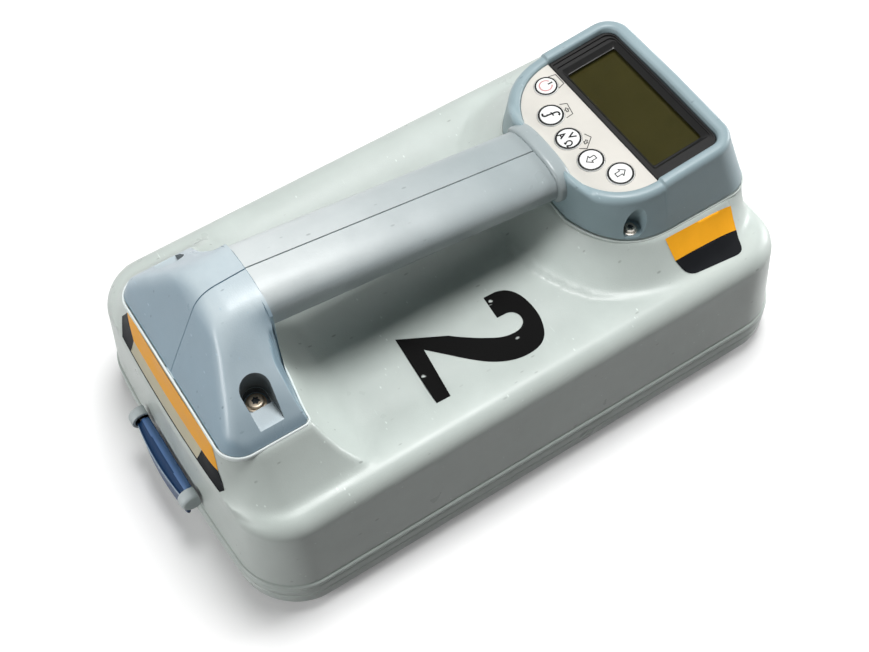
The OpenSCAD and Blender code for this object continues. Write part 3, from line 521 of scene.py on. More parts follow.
def skin(levels, insets, drop):
    rings = [level(border(e), z) for z, e in levels] + [top_ring(e, drop) for e in insets]
    points, faces = loft(rings)
    walls_q = {BORDER_N - CORNER_N - j for j in range(hole_j[0] + 1, hole_j[1] + 1)}
    keep = [f for n, f in enumerate(faces)
            if not (n // BORDER_N == hole_k and n % BORDER_N in walls_q)]
    base, last = len(points), (len(rings) - 1) * BORDER_N
    rows = []
    for j in range(1, STATION_N):
        place, out = skeleton[CROSS_N + j, :2], skeleton[CROSS_N + j, 2:]
        right = place + out * (CORNER_R - INSET_MAX)
        x = np.linspace(-right[0], right[0], CROSS_N + 1)[1:-1]
        y = right[1] + bow(x, np.full(len(x), right[1]))
        rows.append(columns(x, y, top_height(x, y) - drop))

    def at(j, i):
        if j == 0:
            return last + i
        if j == STATION_N:
            return last + 2 * CROSS_N + STATION_N - i
        if i == CROSS_N:
            return last + CROSS_N + j
        if i == 0:
            return last + BORDER_N - j
        return base + (j - 1) * (CROSS_N - 1) + i - 1

    grid = [(at(j, i), at(j, i + 1), at(j + 1, i + 1), at(j + 1, i))
            for j in range(STATION_N) for i in range(CROSS_N)]
    return np.concatenate([points] + rows), keep + grid, sorted(walls_q)


print("rings in the wall", len(wall_levels), "and over the shoulder", len(top_insets))

# %% The housing from two skins
inner_levels = [(z, lean(z) + WALL) for z, _ in wall_levels]
inner_insets = list(np.linspace(WALL + 0.5, INSET_MAX, 5))
outer_points, outer_faces, hole_q = skin(wall_levels, top_insets, 0.0)
inner_points, inner_faces, _ = skin(inner_levels, inner_insets, 4.0)
base = len(outer_points)
low, high = hole_k * BORDER_N, (hole_k + 1) * BORDER_N
shell_faces = outer_faces + [tuple(base + v for v in f) for f in inner_faces]
for q in range(BORDER_N):
    r = (q + 1) % BORDER_N
    shell_faces.append((q, r, base + r, base + q))
for q in hole_q:
    shell_faces += [(r + q, r + q + 1, base + r + q + 1, base + r + q) for r in (low, high)]
for q in (hole_q[0], hole_q[-1] + 1):
    shell_faces.append((low + q, high + q, base + high + q, base + low + q))
make_piece("housing_shell", (np.concatenate([outer_points, inner_points]), shell_faces),
           housing_plastic, "housing_plastic", "upper_housing", sharp=50)

# %% [markdown]
# ## The base tray
# Below the parting line only a thin strip of the tray shows: a bead like the housing's, a fine
# step, and a rounded lower edge. The same plan is lofted downwards, and a lip goes up inside.

# %% Base tray
TRAY_OUT, TRAY_LIP = -4.8, -DRAFT + WALL + 0.4
tray_profile = [(TRAY_OUT + e, z) for e, z in (
    (6.5, 2.0), (3.4, 2.5), (1.6, 3.7), (0.6, 5.4), (0.1, 7.6), (0, 9.5), (0, 12.6), (0.5, 13.0),
    (0.5, 13.8), (0, 14.2), (0, 18.9), (0.3, 19.4), (0.8, 19.6))]
tray_profile += [(TRAY_LIP + e, z) for e, z in (
    (0, 19.6), (0, 22.4), (0.4, 22.6), (2, 22.6), (3, 4.4), (4, 4.2))]
make_piece("tray_shell", loft([level(border(e), z) for e, z in tray_profile], capped=True),
           housing_plastic, "housing_plastic", "base_tray", body="tray", sharp=50)

# %% [markdown]
# ## The handle
# The grip is a sweep of upright rounded sections. The foot goes on with sections that reach down to
# its seat. Its height is a formula again: a back that falls to the rear, a flank that spreads, a
# front wall and a steep band above the seat, each rounded into the next. The grip is grey and the
# foot is blue with a small step between them, so the faces behind the step get a second finish.
# Both mould halves meet in a fine groove.

# %% Grip sections
STEP_Y, SECTION_N, GRIP_POWER = -98.5, 53, 2.6
GRIP_SLOPE = GRIP_RISE / (COLLAR_Y - STEP_Y)


def lerp(a, b, t):
    return a + (b - a) * t


def grip_top(y):
    return GRIP_Z + (COLLAR_Y - y) * GRIP_SLOPE


def squared(wave):
    return np.sign(wave) * np.abs(wave) ** (2 / GRIP_POWER)


def grip_section(t):
    y = lerp(COLLAR_Y - 0.2, STEP_Y, t)
    seam = np.array([0, 0.004, 0.02])
    a = np.concatenate([seam, np.linspace(0, math.pi, SECTION_N - 4)[1:-1], math.pi - seam[::-1]])
    x = GRIP_W2 * lerp(1.02, 1, t) * squared(np.abs(np.sin(a)))
    z = grip_top(y) - lerp(GRIP_FRONT_H, GRIP_REAR_H, t) / 2 * (1 - squared(np.cos(a)))
    return columns(x, y, z)


print("grip falls %.3f per millimetre" % GRIP_SLOPE)

# %% Foot outline and flanks
FOOT_SEAT, FOOT_TALL, FOOT_CORNER, NEAR_CORNER = FOOT_Z + 0.2, 48.8, 12.0, 2.5
FRONT_FLANK = [(0, 1), (12, 0.957), (19, 0.872), (24, 0.72), (28, 0.62), (33, 0.515), (42, 0.345),
               (50, 0.195), (57, 0.04)]
FULL_FLANK = [(0, 1), (13, 0.95), (22, 0.79), (28, 0.672), (34, 0.552), (40, 0.436), (46, 0.308),
              (52, 0.16), (57, 0.03)]


def through(a, b, c, d, t):
    bend, twist = 2 * a - 5 * b + 4 * c - d, 3 * b - a - 3 * c + d
    return 0.5 * (2 * b + (c - a) * t + bend * t * t + twist * t ** 3)


def foot_back(y):
    a = math.pi / 2 * np.linspace(0, 1, 200)
    top_lean, back_lean = math.radians(5.7), math.radians(27)
    over = (GRIP_Z + GRIP_RISE - FOOT_Z + 0.9) / np.maximum(0.1, np.cos(a - top_lean))
    behind = (STEP_Y - FOOT_REAR) * math.cos(back_lean) / np.cos(a - math.pi / 2 + back_lean)
    reach = soft_min(over, behind, 10.0)
    return float(np.interp(-y, -STEP_Y + reach * np.sin(a), FOOT_SEAT + reach * np.cos(a)))


def flank_share(points, x):
    p = np.asarray(points, float)
    p = np.concatenate([[p[1] * [-1, 1]], p, [2 * p[-1] - p[-2]]])
    places = np.linspace(0, len(points) - 1, 161)
    k = np.minimum(places.astype(int), len(points) - 2)
    px, share = through(p[k], p[k + 1], p[k + 2], p[k + 3], (places - k)[:, None]).T
    return np.interp(x, px, share)


def foot_plan():
    turn_x = FOOT_W2 - NEAR_CORNER
    front_x = np.concatenate([np.linspace(0, 22, 12), np.linspace(23, turn_x, 32)])
    front = columns(front_x, foot_front(front_x))
    a, b = (np.radians(np.linspace(*ends))[1:] for ends in ((90, 0, 7), (0, -90, 19)))
    near = columns(turn_x + NEAR_CORNER * np.cos(a), front[-1, 1] + NEAR_CORNER * (np.sin(a) - 1))
    side = columns(FOOT_W2, np.linspace(-110, FOOT_REAR + FOOT_CORNER, 12))
    turn = columns(FOOT_W2 + FOOT_CORNER * (np.cos(b) - 1), FOOT_REAR + FOOT_CORNER * (np.sin(b) + 1))
    return np.concatenate([front, near, side, turn, columns(np.linspace(44, 0, 18), FOOT_REAR)])


print("foot outline", len(foot_plan()), "points, top at %.1f" % foot_back(STEP_Y))

# %% Foot sections
def foot_height(x, y):
    share = lerp(flank_share(FRONT_FLANK, x), flank_share(FULL_FLANK, x), ease((STEP_Y - y) / 14))
    body = soft_min(FOOT_SEAT + FOOT_TALL * share, foot_back(y), 9.0)
    steep = 4.7 + 6 * ease((36 - x) / 12)
    wall = steep * np.maximum(foot_front(x) - y, 0) + 60 * ease((29 - x) / 6)
    band = 2.6 * np.maximum(-slot_distance(x, y, FOOT_W2, FOOT_REAR, FOOT_CORNER), 0)
    return np.maximum(soft_min(body, FOOT_SEAT + soft_min(wall, band, 2.0), 3.0), FOOT_SEAT)


plan_edge = foot_plan()
plan_edge = plan_edge[11:np.argmax(plan_edge[:, 1] <= FOOT_REAR) + 1]


def foot_section(y):
    edge = float(np.interp(-y, -plan_edge[:, 1], plan_edge[:, 0]))
    edge += 0.8 if y > plan_edge[0, 1] else 0.0
    spread = np.sin(np.linspace(0, math.pi / 2, 37))
    x = np.concatenate([[0, 0.1, 0.3], 0.9 + (edge - 0.9) * spread])
    under = columns(np.linspace(edge, 0, 14)[1:], y, FOOT_SEAT)
    return np.concatenate([columns(x, y, foot_height(x, y)), under])


print("points in a foot section", len(foot_section(-120.0)))

# %% Handle sweep
def mould_half(section, side):
    x, y, z = section.T
    low_half = np.arange(SECTION_N) > SECTION_N // 2
    groove = np.where(low_half, 0.3, -0.9) * np.clip(1 - x / 0.3, 0, 1)
    return columns(side * (x + 0.04), y, z + groove)


foot_y = np.concatenate([[-98.6, -99.4, -100.1], np.arange(-100.4, -107.5, -0.35),
                         np.arange(-108, -133, -1.0), np.arange(-133, -144, -0.7),
                         [-144, -144.4, -144.7, -144.9, -144.98]])
sections = [grip_section(t) for t in np.linspace(0, 1, 61)] + [foot_section(y) for y in foot_y]
handle_halves = {}
for side, word in SIDES:
    half = make_piece("handle_half_" + word, loft([mould_half(s, side) for s in sections], True),
                      grip_plastic, "handle_plastic", "handle_" + word, sharp=32)
    repaint(half, foot_plastic, lambda x, y, z, up: y < STEP_Y - 0.02)
    handle_halves[side] = half

# %% [markdown]
# Each flank of the foot has an upright pocket, open to the side, with a screw in a small well behind
# a flat sill. Its walls are painted dark as shade, its floors keep the foot's blue. A pocket is
# easiest to take out of the finished sweep with a boolean, so a helper cuts one closed mesh from
# another and marks the sharp edges again.

# %% Pockets in the foot
POCKET_X, POCKET_Y, POCKET_Z, SILL_Z, WELL_END, POCKET_END = 37.0, -120.0, 101.4, 105.5, 42.6, 77


def carve(piece, shape, wall_finish, floor_finish, sharp):
    cutter = make_piece(piece.name + "_cutter", shape, wall_finish, "handle_plastic")
    repaint(cutter, floor_finish, lambda x, y, z, up: abs(up) > 0.9)
    change = piece.modifiers.new("pocket", "BOOLEAN")
    change.operation, change.solver, change.object = "DIFFERENCE", "EXACT", cutter
    change.material_mode = "TRANSFER"
    graph = bpy.context.evaluated_depsgraph_get()
    mesh = bpy.data.meshes.new_from_object(piece.evaluated_get(graph))
    piece.modifiers.clear()
    piece.data = mesh
    bpy.data.objects.remove(cutter, do_unlink=True)
    shade_smooth(mesh, sharp)


def slot_ring(z, r, inner, outer):
    a = np.radians(np.linspace(90, 270, 33))
    bend = columns(inner + r + r * np.cos(a), POCKET_Y + r * np.sin(a))
    return level(np.concatenate([bend, [(outer, POCKET_Y - r), (outer, POCKET_Y + r)]]), z)


slot_rings = [slot_ring(POCKET_Z, 5.6, POCKET_X - 5.8, WELL_END),
              slot_ring(SILL_Z, 5.6, POCKET_X - 5.8, WELL_END),
              slot_ring(SILL_Z, 6.0, POCKET_X - 6.0, POCKET_END),
              slot_ring(SILL_Z + 28, 8.4, POCKET_X + 1.0, POCKET_END)]
# The pocket walls get the painted shade, the floors keep the foot's blue.
for side, half in handle_halves.items():
    carve(half, loft([ring * [side, 1, 1] for ring in slot_rings], True), painted_recess_shade,
          foot_plastic, 32)
print("pocket floor at", POCKET_Z, "faces", len(handle_halves[1].data.polygons))

# %% [markdown]
# The screws are turned heads with a six-lobed recess: rings of points that run up the head, over a
# chamfer and down into a star-shaped hole. The inside of the hole is painted dark as shade.

# %% Screws
def lobed_screw(name, spot, z, r, tall, material, node):
    star = 0.46 + 0.07 * np.cos(6 * full_turn(72))
    rows = [(1.28, 0.0), (1.28, 0.3), (1.22, 0.4), (1.0, 0.42), (1.0, tall - 0.5),
            (0.93, tall - 0.15), (0.84, tall), (0.62, tall), (star, tall - 0.02),
            (star * 0.93, tall - 1.3)]
    rings = [level(circle(spot, r * k, 72), z + h) for k, h in rows]
    screw = make_piece(name, loft(rings, True), material, "steel", node, sharp=30)
    # Painted shade inside the star-shaped recess.
    repaint(screw, painted_recess_shade, lambda px, py, pz, up: (
        math.hypot(px - spot[0], py - spot[1]) < 0.54 * r and pz < z + tall - 0.1))


for side, word in SIDES:
    lobed_screw("foot_screw_" + word, (side * POCKET_X, POCKET_Y), POCKET_Z + 0.1, 3.8, 2.4, bronze,
                "handle_screws")

# %% [markdown]
# ## The display head
# The head is a loft of plan outlines. Each has a flat collar towards the handle, flanks that swell
# from it, and a squared front. The rim is a rounded lip that steps up beside the display, and
# inside it the deck is a shallow recess for the keypad and the display's bezel.

# %% Head outlines
RIM_STEP_Y, HEAD_POWER, FACE_BOW = LCD_Y - 19.5, 2.4, 0.6


def swell_depth(w, rear, nose):
    return (HEAD_MID - rear) / (1 - (nose / w) ** HEAD_POWER) ** (1 / HEAD_POWER)


def swell_angle(y, depth):
    return math.acos(((HEAD_MID - y) / depth) ** (HEAD_POWER / 2))


def swell(w, depth, a):
    power = 2 / HEAD_POWER
    return columns(w * np.sin(a) ** power, HEAD_MID - depth * np.abs(np.cos(a)) ** power)


def head_outline(w, rear, front, nose, r):
    depth = swell_depth(w, rear, nose)
    fine = [swell_angle(y, depth) for y in RIM_STEP_Y + np.linspace(-0.6, 0.6, 5)]
    first = math.asin((nose / w) ** (HEAD_POWER / 2))
    a = np.sort(np.concatenate([np.linspace(first, math.pi / 2, 41), fine]))
    c = np.linspace(0, math.pi / 2, 15)
    face_x = np.linspace(w - r, 0, 14)[1:]
    return mirrored(np.concatenate([
        columns(np.linspace(0, nose, 9)[:-1], rear),
        swell(w, depth, a),
        columns(w, np.linspace(HEAD_MID, front - r, 14)[1:-1]),
        columns(w - r + r * np.cos(c), front - r + r * np.sin(c) - FACE_BOW * np.cos(c)),
        columns(face_x, front + FACE_BOW * (1 - face_x / (w - r)))]))


def deck_height(y):
    return DECK_Z + (y - LCD_Y) * math.tan(TILT)


def rim_height(y):
    step, rise = ease((y - RIM_STEP_Y) / 0.9 + 0.5), ease((67.5 - y) / (67.5 - COLLAR_Y))
    return deck_height(y) + 1.6 + 1.7 * step + 5.5 * rise


def base_ring(e):
    return head_outline(57.5 - e, COLLAR_Y + e, 150.5 - e, 24 - e, 14 - e)


def rim_ring(e):
    return head_outline(52 - e, COLLAR_Y + e, 142 - e, 23 - e, 13 - e)


def recess_ring(e):
    return head_outline(45.5 - e, LCD_Y - 52.5 + e, 135 - e, 12 - e, 6 - e / 2)


print("outline points", len(base_ring(0)), "step in the rim at", RIM_STEP_Y)

# %% Head
def under(height, ring, drop):
    return level(ring, height(ring[:, 1]) - drop)


def head_rings():
    seat, lip = HEAD_Z + 0.2, 4.0
    low, high = level(base_ring(0), seat + 1.0), under(rim_height, rim_ring(0), lip)
    rings = [level(base_ring(0.7), seat)] + [low + (high - low) * t for t in np.linspace(0, 1, 9)]
    for a in np.radians((20, 40, 60, 80)):
        rings.append(under(rim_height, rim_ring(3.2 * (1 - math.cos(a))), lip * (1 - math.sin(a))))
    for e, drop in ((-1.6, 0.0), (-0.7, 0.3), (-0.1, 1.1)):
        rings.append(under(rim_height, recess_ring(e), drop))
    for e, drop in ((0, 2.6), (2, 2.6), (2, 10.0)):
        rings.append(under(deck_height, recess_ring(e), drop))
    return rings


head = make_piece("head_shell", loft(head_rings(), True), head_plastic, "head_plastic",
                  "head_housing", sharp=42)

# %% [markdown]
# Two leaning grooves in the flanks lead a screwdriver to the head's screws. They are cut like the
# pockets, with an oval that shifts outwards as it climbs.

# %% Grooves in the head
GROOVE_X, GROOVE_Y, GROOVE_Z, GROOVE_TALL = 48.0, 80.4, 93.4, 24
GROOVE_LEAN = math.tan(math.radians(24))
oval = circle((0, 0), 5.4) * [1.09, 1]
for side, word in SIDES:
    rings = [level((oval + [GROOVE_X + h * GROOVE_LEAN, GROOVE_Y]) * [side, 1], GROOVE_Z + h)
             for h in (0, GROOVE_TALL)]
    carve(head, loft(rings, True), head_plastic, head_plastic, 42)
    lobed_screw("head_screw_" + word, (side * GROOVE_X, GROOVE_Y), GROOVE_Z + 0.1, 2.9, 2.2, steel,
                "head_screws")
print("groove floor at", GROOVE_Z, "faces", len(head.data.polygons))

# %% [markdown]
# A ridge rings the grip where it enters the head. It is a short loft of the grip's own section,
# a little larger.

# %% Collar ridge
ridge_rows = ((-4.0, 0.1), (-3.8, 1.1), (-3.1, 1.8), (-2.0, 2.0), (3.2, 2.0), (4.4, 1.7),
              (4.9, 0.7), (5.2, -0.6), (6.0, -3.0))


def ridge_ring(y, grow):
    a, half = full_turn(96), GRIP_FRONT_H / 2
    z = grip_top(COLLAR_Y + y) - half + (half + grow) * squared(np.cos(a))
    return columns((GRIP_W2 * 1.02 + grow) * squared(np.sin(a)), COLLAR_Y + y, z)


make_piece("collar_ridge", loft([ridge_ring(*row) for row in ridge_rows], True), grip_plastic,
           "head_plastic", sharp=45)

# %% [markdown]
# Where foot and head stand on their plinths, the housing has a thin rounded edge that catches the
# light. It is a narrow band that follows the outline of the seat. Round the foot it is painted pale,
# as wear and as a painted highlight; round the head it keeps the housing's colour.

# %% Pale seat edges
def foot_outline(e):
    loop = mirrored(foot_plan())
    way = np.roll(loop, -1, 0) - np.roll(loop, 1, 0)
    return loop + columns(-way[:, 1], way[:, 0]) / np.linalg.norm(way, axis=1)[:, None] * e


def seat_band(name, outline, z, finish, size):
    rows = ((0.2, -0.6), (0.22, 0.1), (0.4, 0.3), (0.75, 0.28), (1.05, 0.0), (1.3, -0.8), (1.3, -2.0))
    make_piece(name, loft([level(outline(e * size), z + h * size) for e, h in rows]), finish,
               "housing_plastic", sharp=60)


# The foot's seat edge is painted pale as a highlight.
seat_band("foot_seat_edge", foot_outline, FOOT_Z, seat_edge, 1.0)
seat_band("head_seat_edge", lambda e: base_ring(-e), HEAD_Z, housing_plastic, 0.7)

# %% [markdown]
# ## The deck: keypad, keys, bezel and display
# Everything on the deck is drawn flat, with u to the right, v towards the display end and w out of
# the deck, and then tilted into place. The window sits deep in a glossy black bezel with sloped
# sides.

# %% Bezel
def on_deck(points, faces):
    u, v, w = np.asarray(points, float).T
    c, s = math.cos(TILT), math.sin(TILT)
    return columns(u, LCD_Y + v * c - w * s, DECK_Z + v * s + w * c), faces


def deck_ring(half, v0, v1, r, w, rear_r=1.2):
    ring = []
    for turn, (su, k) in enumerate(((1, r), (-1, r), (-1, rear_r), (1, rear_r))):
        a = np.linspace(0, math.pi / 2, 11) + turn * math.pi / 2
        v = v1 - k if turn < 2 else v0 + k
        ring.append(columns(su * (half - k) + k * np.cos(a), v + k * np.sin(a), w))
    return np.concatenate(ring)


bezel_sizes = [
    (45.2, -19.5, 18.8, 6.6, -2.4), (45.2, -19.5, 18.8, 6.6, 0.0), (44.8, -19.2, 18.4, 6.3, 0.35),
    (43.2, -18.6, 17.9, 5.2, 0.35), (43.0, -18.5, 17.8, 5.0, -0.35), (40.8, -17.6, 17.3, 3.6, -0.4),
    (40.6, -17.5, 17.2, 3.5, -1.1), (38.6, -16.4, 17.1, 2.2, -1.15), (38.4, -16.3, 17.0, 2.0, -1.3),
    (36.2, -14.9, 14.9, 1.2, -3.0), (35.5, -14.5, 14.5, 1.0, -3.1, 1.0),
    (35.5, -14.5, 14.5, 1.0, -3.4, 1.0), (42.0, -18.5, 16.2, 2.0, -3.4),
    (42.0, -18.5, 16.2, 2.0, -2.4)]
bezel_shape = loft([deck_ring(*size) for size in bezel_sizes], join_ends=True)
make_piece("display_bezel", on_deck(*bezel_shape), bezel_black, "bezel_plastic", "display_frame",
           sharp=30)

# %% [markdown]
# The keypad film is a plate that is cut off straight in front of the display. Its outline is
# triangulated with holes for the keys.

# %% A plate with holes
def inside(loop, p):
    x, y = p
    hit = False
    for (x0, y0), (x1, y1) in zip(loop, np.roll(loop, -1, 0)):
        if (y0 > y) != (y1 > y) and x < x0 + (y - y0) / (y1 - y0) * (x1 - x0):
            hit = not hit
    return hit


def triangulate(points, edges, wanted):
    verts, _, tris, _, _, _ = delaunay_2d_cdt([Vector(p) for p in points], edges, [], 0, 1e-6)
    verts = np.array([tuple(v) for v in verts])
    return verts, [tuple(t) for t in tris if wanted(verts[list(t)].mean(0))]


def loop_edges(count, start=0):
    return [(start + k, start + (k + 1) % count) for k in range(count)]


def plate_with_holes(outline, holes, low, high):
    edges, start = [], 0
    for loop in [outline] + holes:
        edges += loop_edges(len(loop), start)
        start += len(loop)

    def on_plate(p):
        clear = [math.dist(p, h.mean(0)) > math.dist(h[0], h.mean(0)) * 0.999 for h in holes]
        return inside(outline, p) and all(clear)

    verts, keep = triangulate(np.concatenate([outline] + holes), edges, on_plate)
    n, seen = len(verts), {}
    for t in keep:
        for pair in zip(t, t[1:] + t[:1]):
            seen.setdefault(tuple(sorted(pair)), []).append(pair)
    faces = keep + [tuple(n + v for v in t[::-1]) for t in keep]
    faces += [(b, a, n + a, n + b) for pairs in seen.values() if len(pairs) == 1 for a, b in pairs]
    return np.concatenate([level(verts, high), level(verts, low)]), faces


print("plate helper ready")

# %% Keypad film
FILM_LOW, FILM_GAP, FILM_FRONT = -2.4, 0.25, -19.75
KEY_SPOTS = {"power": (-34.2, -28.6), "frequency": (-17.7, -37.3), "measure": (-0.8, -38.9),
             "down": (16.4, -37.7), "up": (31.4, -31.2)}
KEY_RADII = {**dict.fromkeys(KEY_SPOTS, 6.8), "power": 6.1}


def keypad_outline(e):
    w, nose, rear = 45.5 - e, 12 - e, LCD_Y - 52.5 + e
    depth = swell_depth(w, rear, nose)
    last = swell_angle(FILM_FRONT * math.cos(TILT) + LCD_Y, depth)
    side = swell(w, depth, np.linspace(math.asin((nose / w) ** (HEAD_POWER / 2)), last, 60))
    side = columns(side[:, 0], (side[:, 1] - LCD_Y) / math.cos(TILT))
    return np.concatenate([side, (side * [-1, 1])[::-1]])


key_holes = [circle(spot, KEY_RADII[name] + FILM_GAP) for name, spot in KEY_SPOTS.items()]
film_shape = plate_with_holes(keypad_outline(FILM_GAP), key_holes, FILM_LOW, 0.0)
make_piece("keypad_film", on_deck(*film_shape), membrane_film, "membrane_film", "keypad_membrane",
           sharp=30)

# %% [markdown]
# Each key is a low dome with a printed black ring. The dome is turned round its own axis; the
# ring is the same mesh with a second material on its outer faces. Strokes for the signs are
# thin ribbons that lie on the dome and travel with the key.

# %% Keys
def dome_height(r, radius):
    return 0.4 + 0.5 * (1 - (r / radius) ** 2)


def key_dome(name, spot, radius):
    rows = [(radius, FILM_LOW), (radius, 0.15), (radius - 0.25, 0.4)]
    rows += [(r, dome_height(r, radius)) for r in np.linspace(radius - 0.35, 0.4, 14)]
    shape = loft([level(circle(spot, r, 64), w) for r, w in rows], True)
    key = make_piece("key_dome_" + name, on_deck(*shape), key_white, "key_plastic", "key_" + name,
                     body=name + "_key", sharp=50)
    centre = on_deck([(*spot, 0.5)], [])[0][0]
    repaint(key, print_black, lambda x, y, z, up: up > 0.7 and (
        radius - 1.35 < math.hypot(x - centre[0], y - centre[1]) < radius - 0.3))


for name, spot in KEY_SPOTS.items():
    key_dome(name, spot, KEY_RADII[name])

# %% Strokes for printed signs
SIGN_LIFT, STROKE_STEP = 0.06, 0.8


def along(*corners, step=3.0):
    out = []
    for a, b in zip(corners, corners[1:]):
        count = max(1, int(math.dist(a, b) / step))
        out += [lerp(np.asarray(a, float), np.asarray(b, float), k / count) for k in range(count)]
    return out


def unit(way):
    return way / max(np.linalg.norm(way), 1e-9)


def ribbon(path, width, closed):
    path, n = np.asarray(path, float), len(path)
    left, right = [], []
    for k in range(n):
        after = path[(k + 1) % n] - path[k]
        before = path[k] - path[k - 1] if (k or closed) else after
        if k == n - 1 and not closed:
            after = before
        before, after = unit(before), unit(after)
        normal = unit(np.array([-(before + after)[1], (before + after)[0]]))
        stretch = width / 2 / max(0.5, float(np.dot(normal, [-before[1], before[0]])))
        left.append(path[k] + normal * stretch)
        right.append(path[k] - normal * stretch)
    faces = [(k, (k + 1) % n, n + (k + 1) % n, n + k) for k in range(n if closed else n - 1)]
    return np.array(left + right), faces


def print_sign(name, strokes, spot, height, material, body, slot):
    points, faces = [], []
    for path, width, closed in strokes:
        # An open path names its last corner twice, because along leaves out the end.
        fine = along(*path, path[0] if closed else path[-1], step=STROKE_STEP)
        flat, quads = ribbon(fine, width, closed)
        faces += [tuple(len(points) + v for v in q) for q in quads]
        w = height(np.hypot(flat[:, 0], flat[:, 1])) + SIGN_LIFT
        points += level(flat + spot, w).tolist()
    make_piece(name, on_deck(points, faces), material, slot, body=body, sharp=180)


def arc(cx, cy, rx, ry, start, end, count):
    a = np.radians(np.linspace(start, end, count + 1))
    return columns(cx + rx * np.cos(a), cy + ry * np.sin(a))


print("stroke helpers ready")

# %% Signs on the keys
arrow = np.array([(-1.1, -2.6), (1.1, -2.6), (1.1, 0.2), (2.3, 0.2), (0, 2.7), (-2.3, 0.2),
                  (-1.1, 0.2)])
f_stem = np.concatenate([arc(1.5, 2.4, 1.3, 1.5, 20, 170, 12), [(0.05, 1.4), (-0.5, -1.6)],
                         arc(-1.9, -2.2, 1.3, 1.4, 20, -150, 12)])
ohm = np.concatenate([[(1.2, -3.3), (2.2, -3.3)], arc(2.9, -1.6, 1.4, 1.6, 240, -60, 18),
                      [(3.6, -3.3), (4.6, -3.3)]])
signs = {
    "frequency": [(f_stem, 1.0, False), ([(-1.2, 0.7), (1.5, 0.7)], 0.75, False)],
    "measure": [([(-1.5, 4.0), (0.0, 0.7), (1.5, 4.0)], 0.8, False),
                ([(-4.4, -3.4), (-3.0, 0.0), (-1.6, -3.4)], 0.8, False),
                ([(-3.9, -2.3), (-2.1, -2.3)], 0.7, False), (ohm, 0.75, False)],
    "down": [(-arrow, 0.5, True)],
    "up": [(arrow, 0.5, True)],
    "power_ring": [(arc(0, -0.2, 3.2, 3.2, 115, 425, 30), 0.75, False)],
    "power_bar": [([(0, 1.1), (0, 3.9)], 0.85, False)]}
for sign, strokes in signs.items():
    name = sign.split("_")[0]
    print_sign("key_sign_" + sign, strokes, KEY_SPOTS[name],
               lambda r: dome_height(r, KEY_RADII[name]),
               print_red if sign == "power_ring" else print_black, name + "_key", "key_plastic")

# %% [markdown]
# Small tabs are printed on the film beside the first three keys, two of them with a plain arrow.

# %% Tabs on the film
tab_path = np.array([(-4.6, -2.0), (-3.6, 1.7), (3.6, 1.7), (4.6, -2.0)])
small_arrow = 0.8 * np.array([(-1.6, 0), (0, 1.3), (0, 0.6), (1.6, 0.6), (1.6, -0.6), (0, -0.6),
                              (0, -1.3)])
tabs = {"power": ((-34.0, -22.1), 0.0, 0), "frequency": ((-15.9, -29.0), -12.0, 1),
        "measure": ((6.0, -33.3), -52.0, -1)}
for name, (spot, turn, way) in tabs.items():
    c, s = math.cos(math.radians(turn)), math.sin(math.radians(turn))
    spin = np.array([[c, s], [-s, c]])
    strokes = [(tab_path @ spin, 0.4, False)]
    if way:
        strokes.append((small_arrow * way @ spin, 0.4, True))
    print_sign("film_tab_" + name, strokes, spot, np.zeros_like, print_black, "housing",
               "membrane_film")

# %% [markdown]
# ## Labels and the painted numeral
# The label places are bare plates of amber, black and cream film without any words. The numeral is
# a plain painted figure in the valley. All are flat outlines that are triangulated, laid over the
# housing with the height formula, and lifted by a hair.

# %% Laying a film on the housing
def smooth_loop(points, per=6):
    p, n = np.asarray(points, float), len(points)
    return np.array([through(p[k - 1], p[k], p[(k + 1) % n], p[(k + 2) % n], t)
                     for k in range(n) for t in np.linspace(0, 1, per + 1)[:-1]])


def on_top(flat):
    return level(flat, top_height(flat[:, 0], flat[:, 1]))


def on_rear_flank(flat):
    x, z = flat.T
    near, far = np.full(len(x), FOOT_REAR + 8.0), np.full(len(x), -END_Y)
    for _ in range(40):
        middle = (near + far) / 2
        above = top_height(x, middle) > z
        near, far = np.where(above, middle, near), np.where(above, far, middle)
    return columns(x, (near + far) / 2, z)


def lay_film(name, loop, material, slot, lift=0.15, pitch=1.5, onto=on_top):
    loop = np.asarray(loop, float)
    (x0, y0), (x1, y1) = loop.min(0), loop.max(0)
    grid = [(a, b) for a in np.arange(x0, x1, pitch) for b in np.arange(y0, y1, pitch)
            if inside(loop, (a, b))]
    flat, tris = triangulate(list(loop) + grid, loop_edges(len(loop)), lambda p: inside(loop, p))
    xyz, step = onto(flat), 0.05
    x, y = xyz[:, 0], xyz[:, 1]
    gx = (top_height(x + step, y) - top_height(x - step, y)) / (2 * step)
    gy = (top_height(x, y + step) - top_height(x, y - step)) / (2 * step)
    normal = columns(-gx, -gy, 1.0)
    normal /= np.linalg.norm(normal, axis=1)[:, None]
    make_piece(name, (xyz + normal * lift, tris), material, slot, sharp=180)


print("film helper ready")

# %% The numeral
paint = Finish("numeral_paint", (0.008, 0.008, 0.008), 0.55, shine=0.02)
paint_place = paint.object_space((1, 0.6, 1), (0, 0, 0.6))
paint_cells = paint.add("ShaderNodeTexVoronoi", Vector=paint_place, Scale=170.0)
chip_size = paint.ramp(paint_cells.outputs["Distance"], 0.16, 0.22, 1.0, 0.0)
chip_place = paint.ramp(paint.noise(paint.object_space(), 70), 0.60, 0.63)
paint_chips = paint.times(chip_size, chip_place)
paint.put("Base Color", paint.tint(paint_chips, (0.007, 0.007, 0.007), (0.62, 0.66, 0.64)))
paint.bump(paint_chips, -0.2, 0.0004)

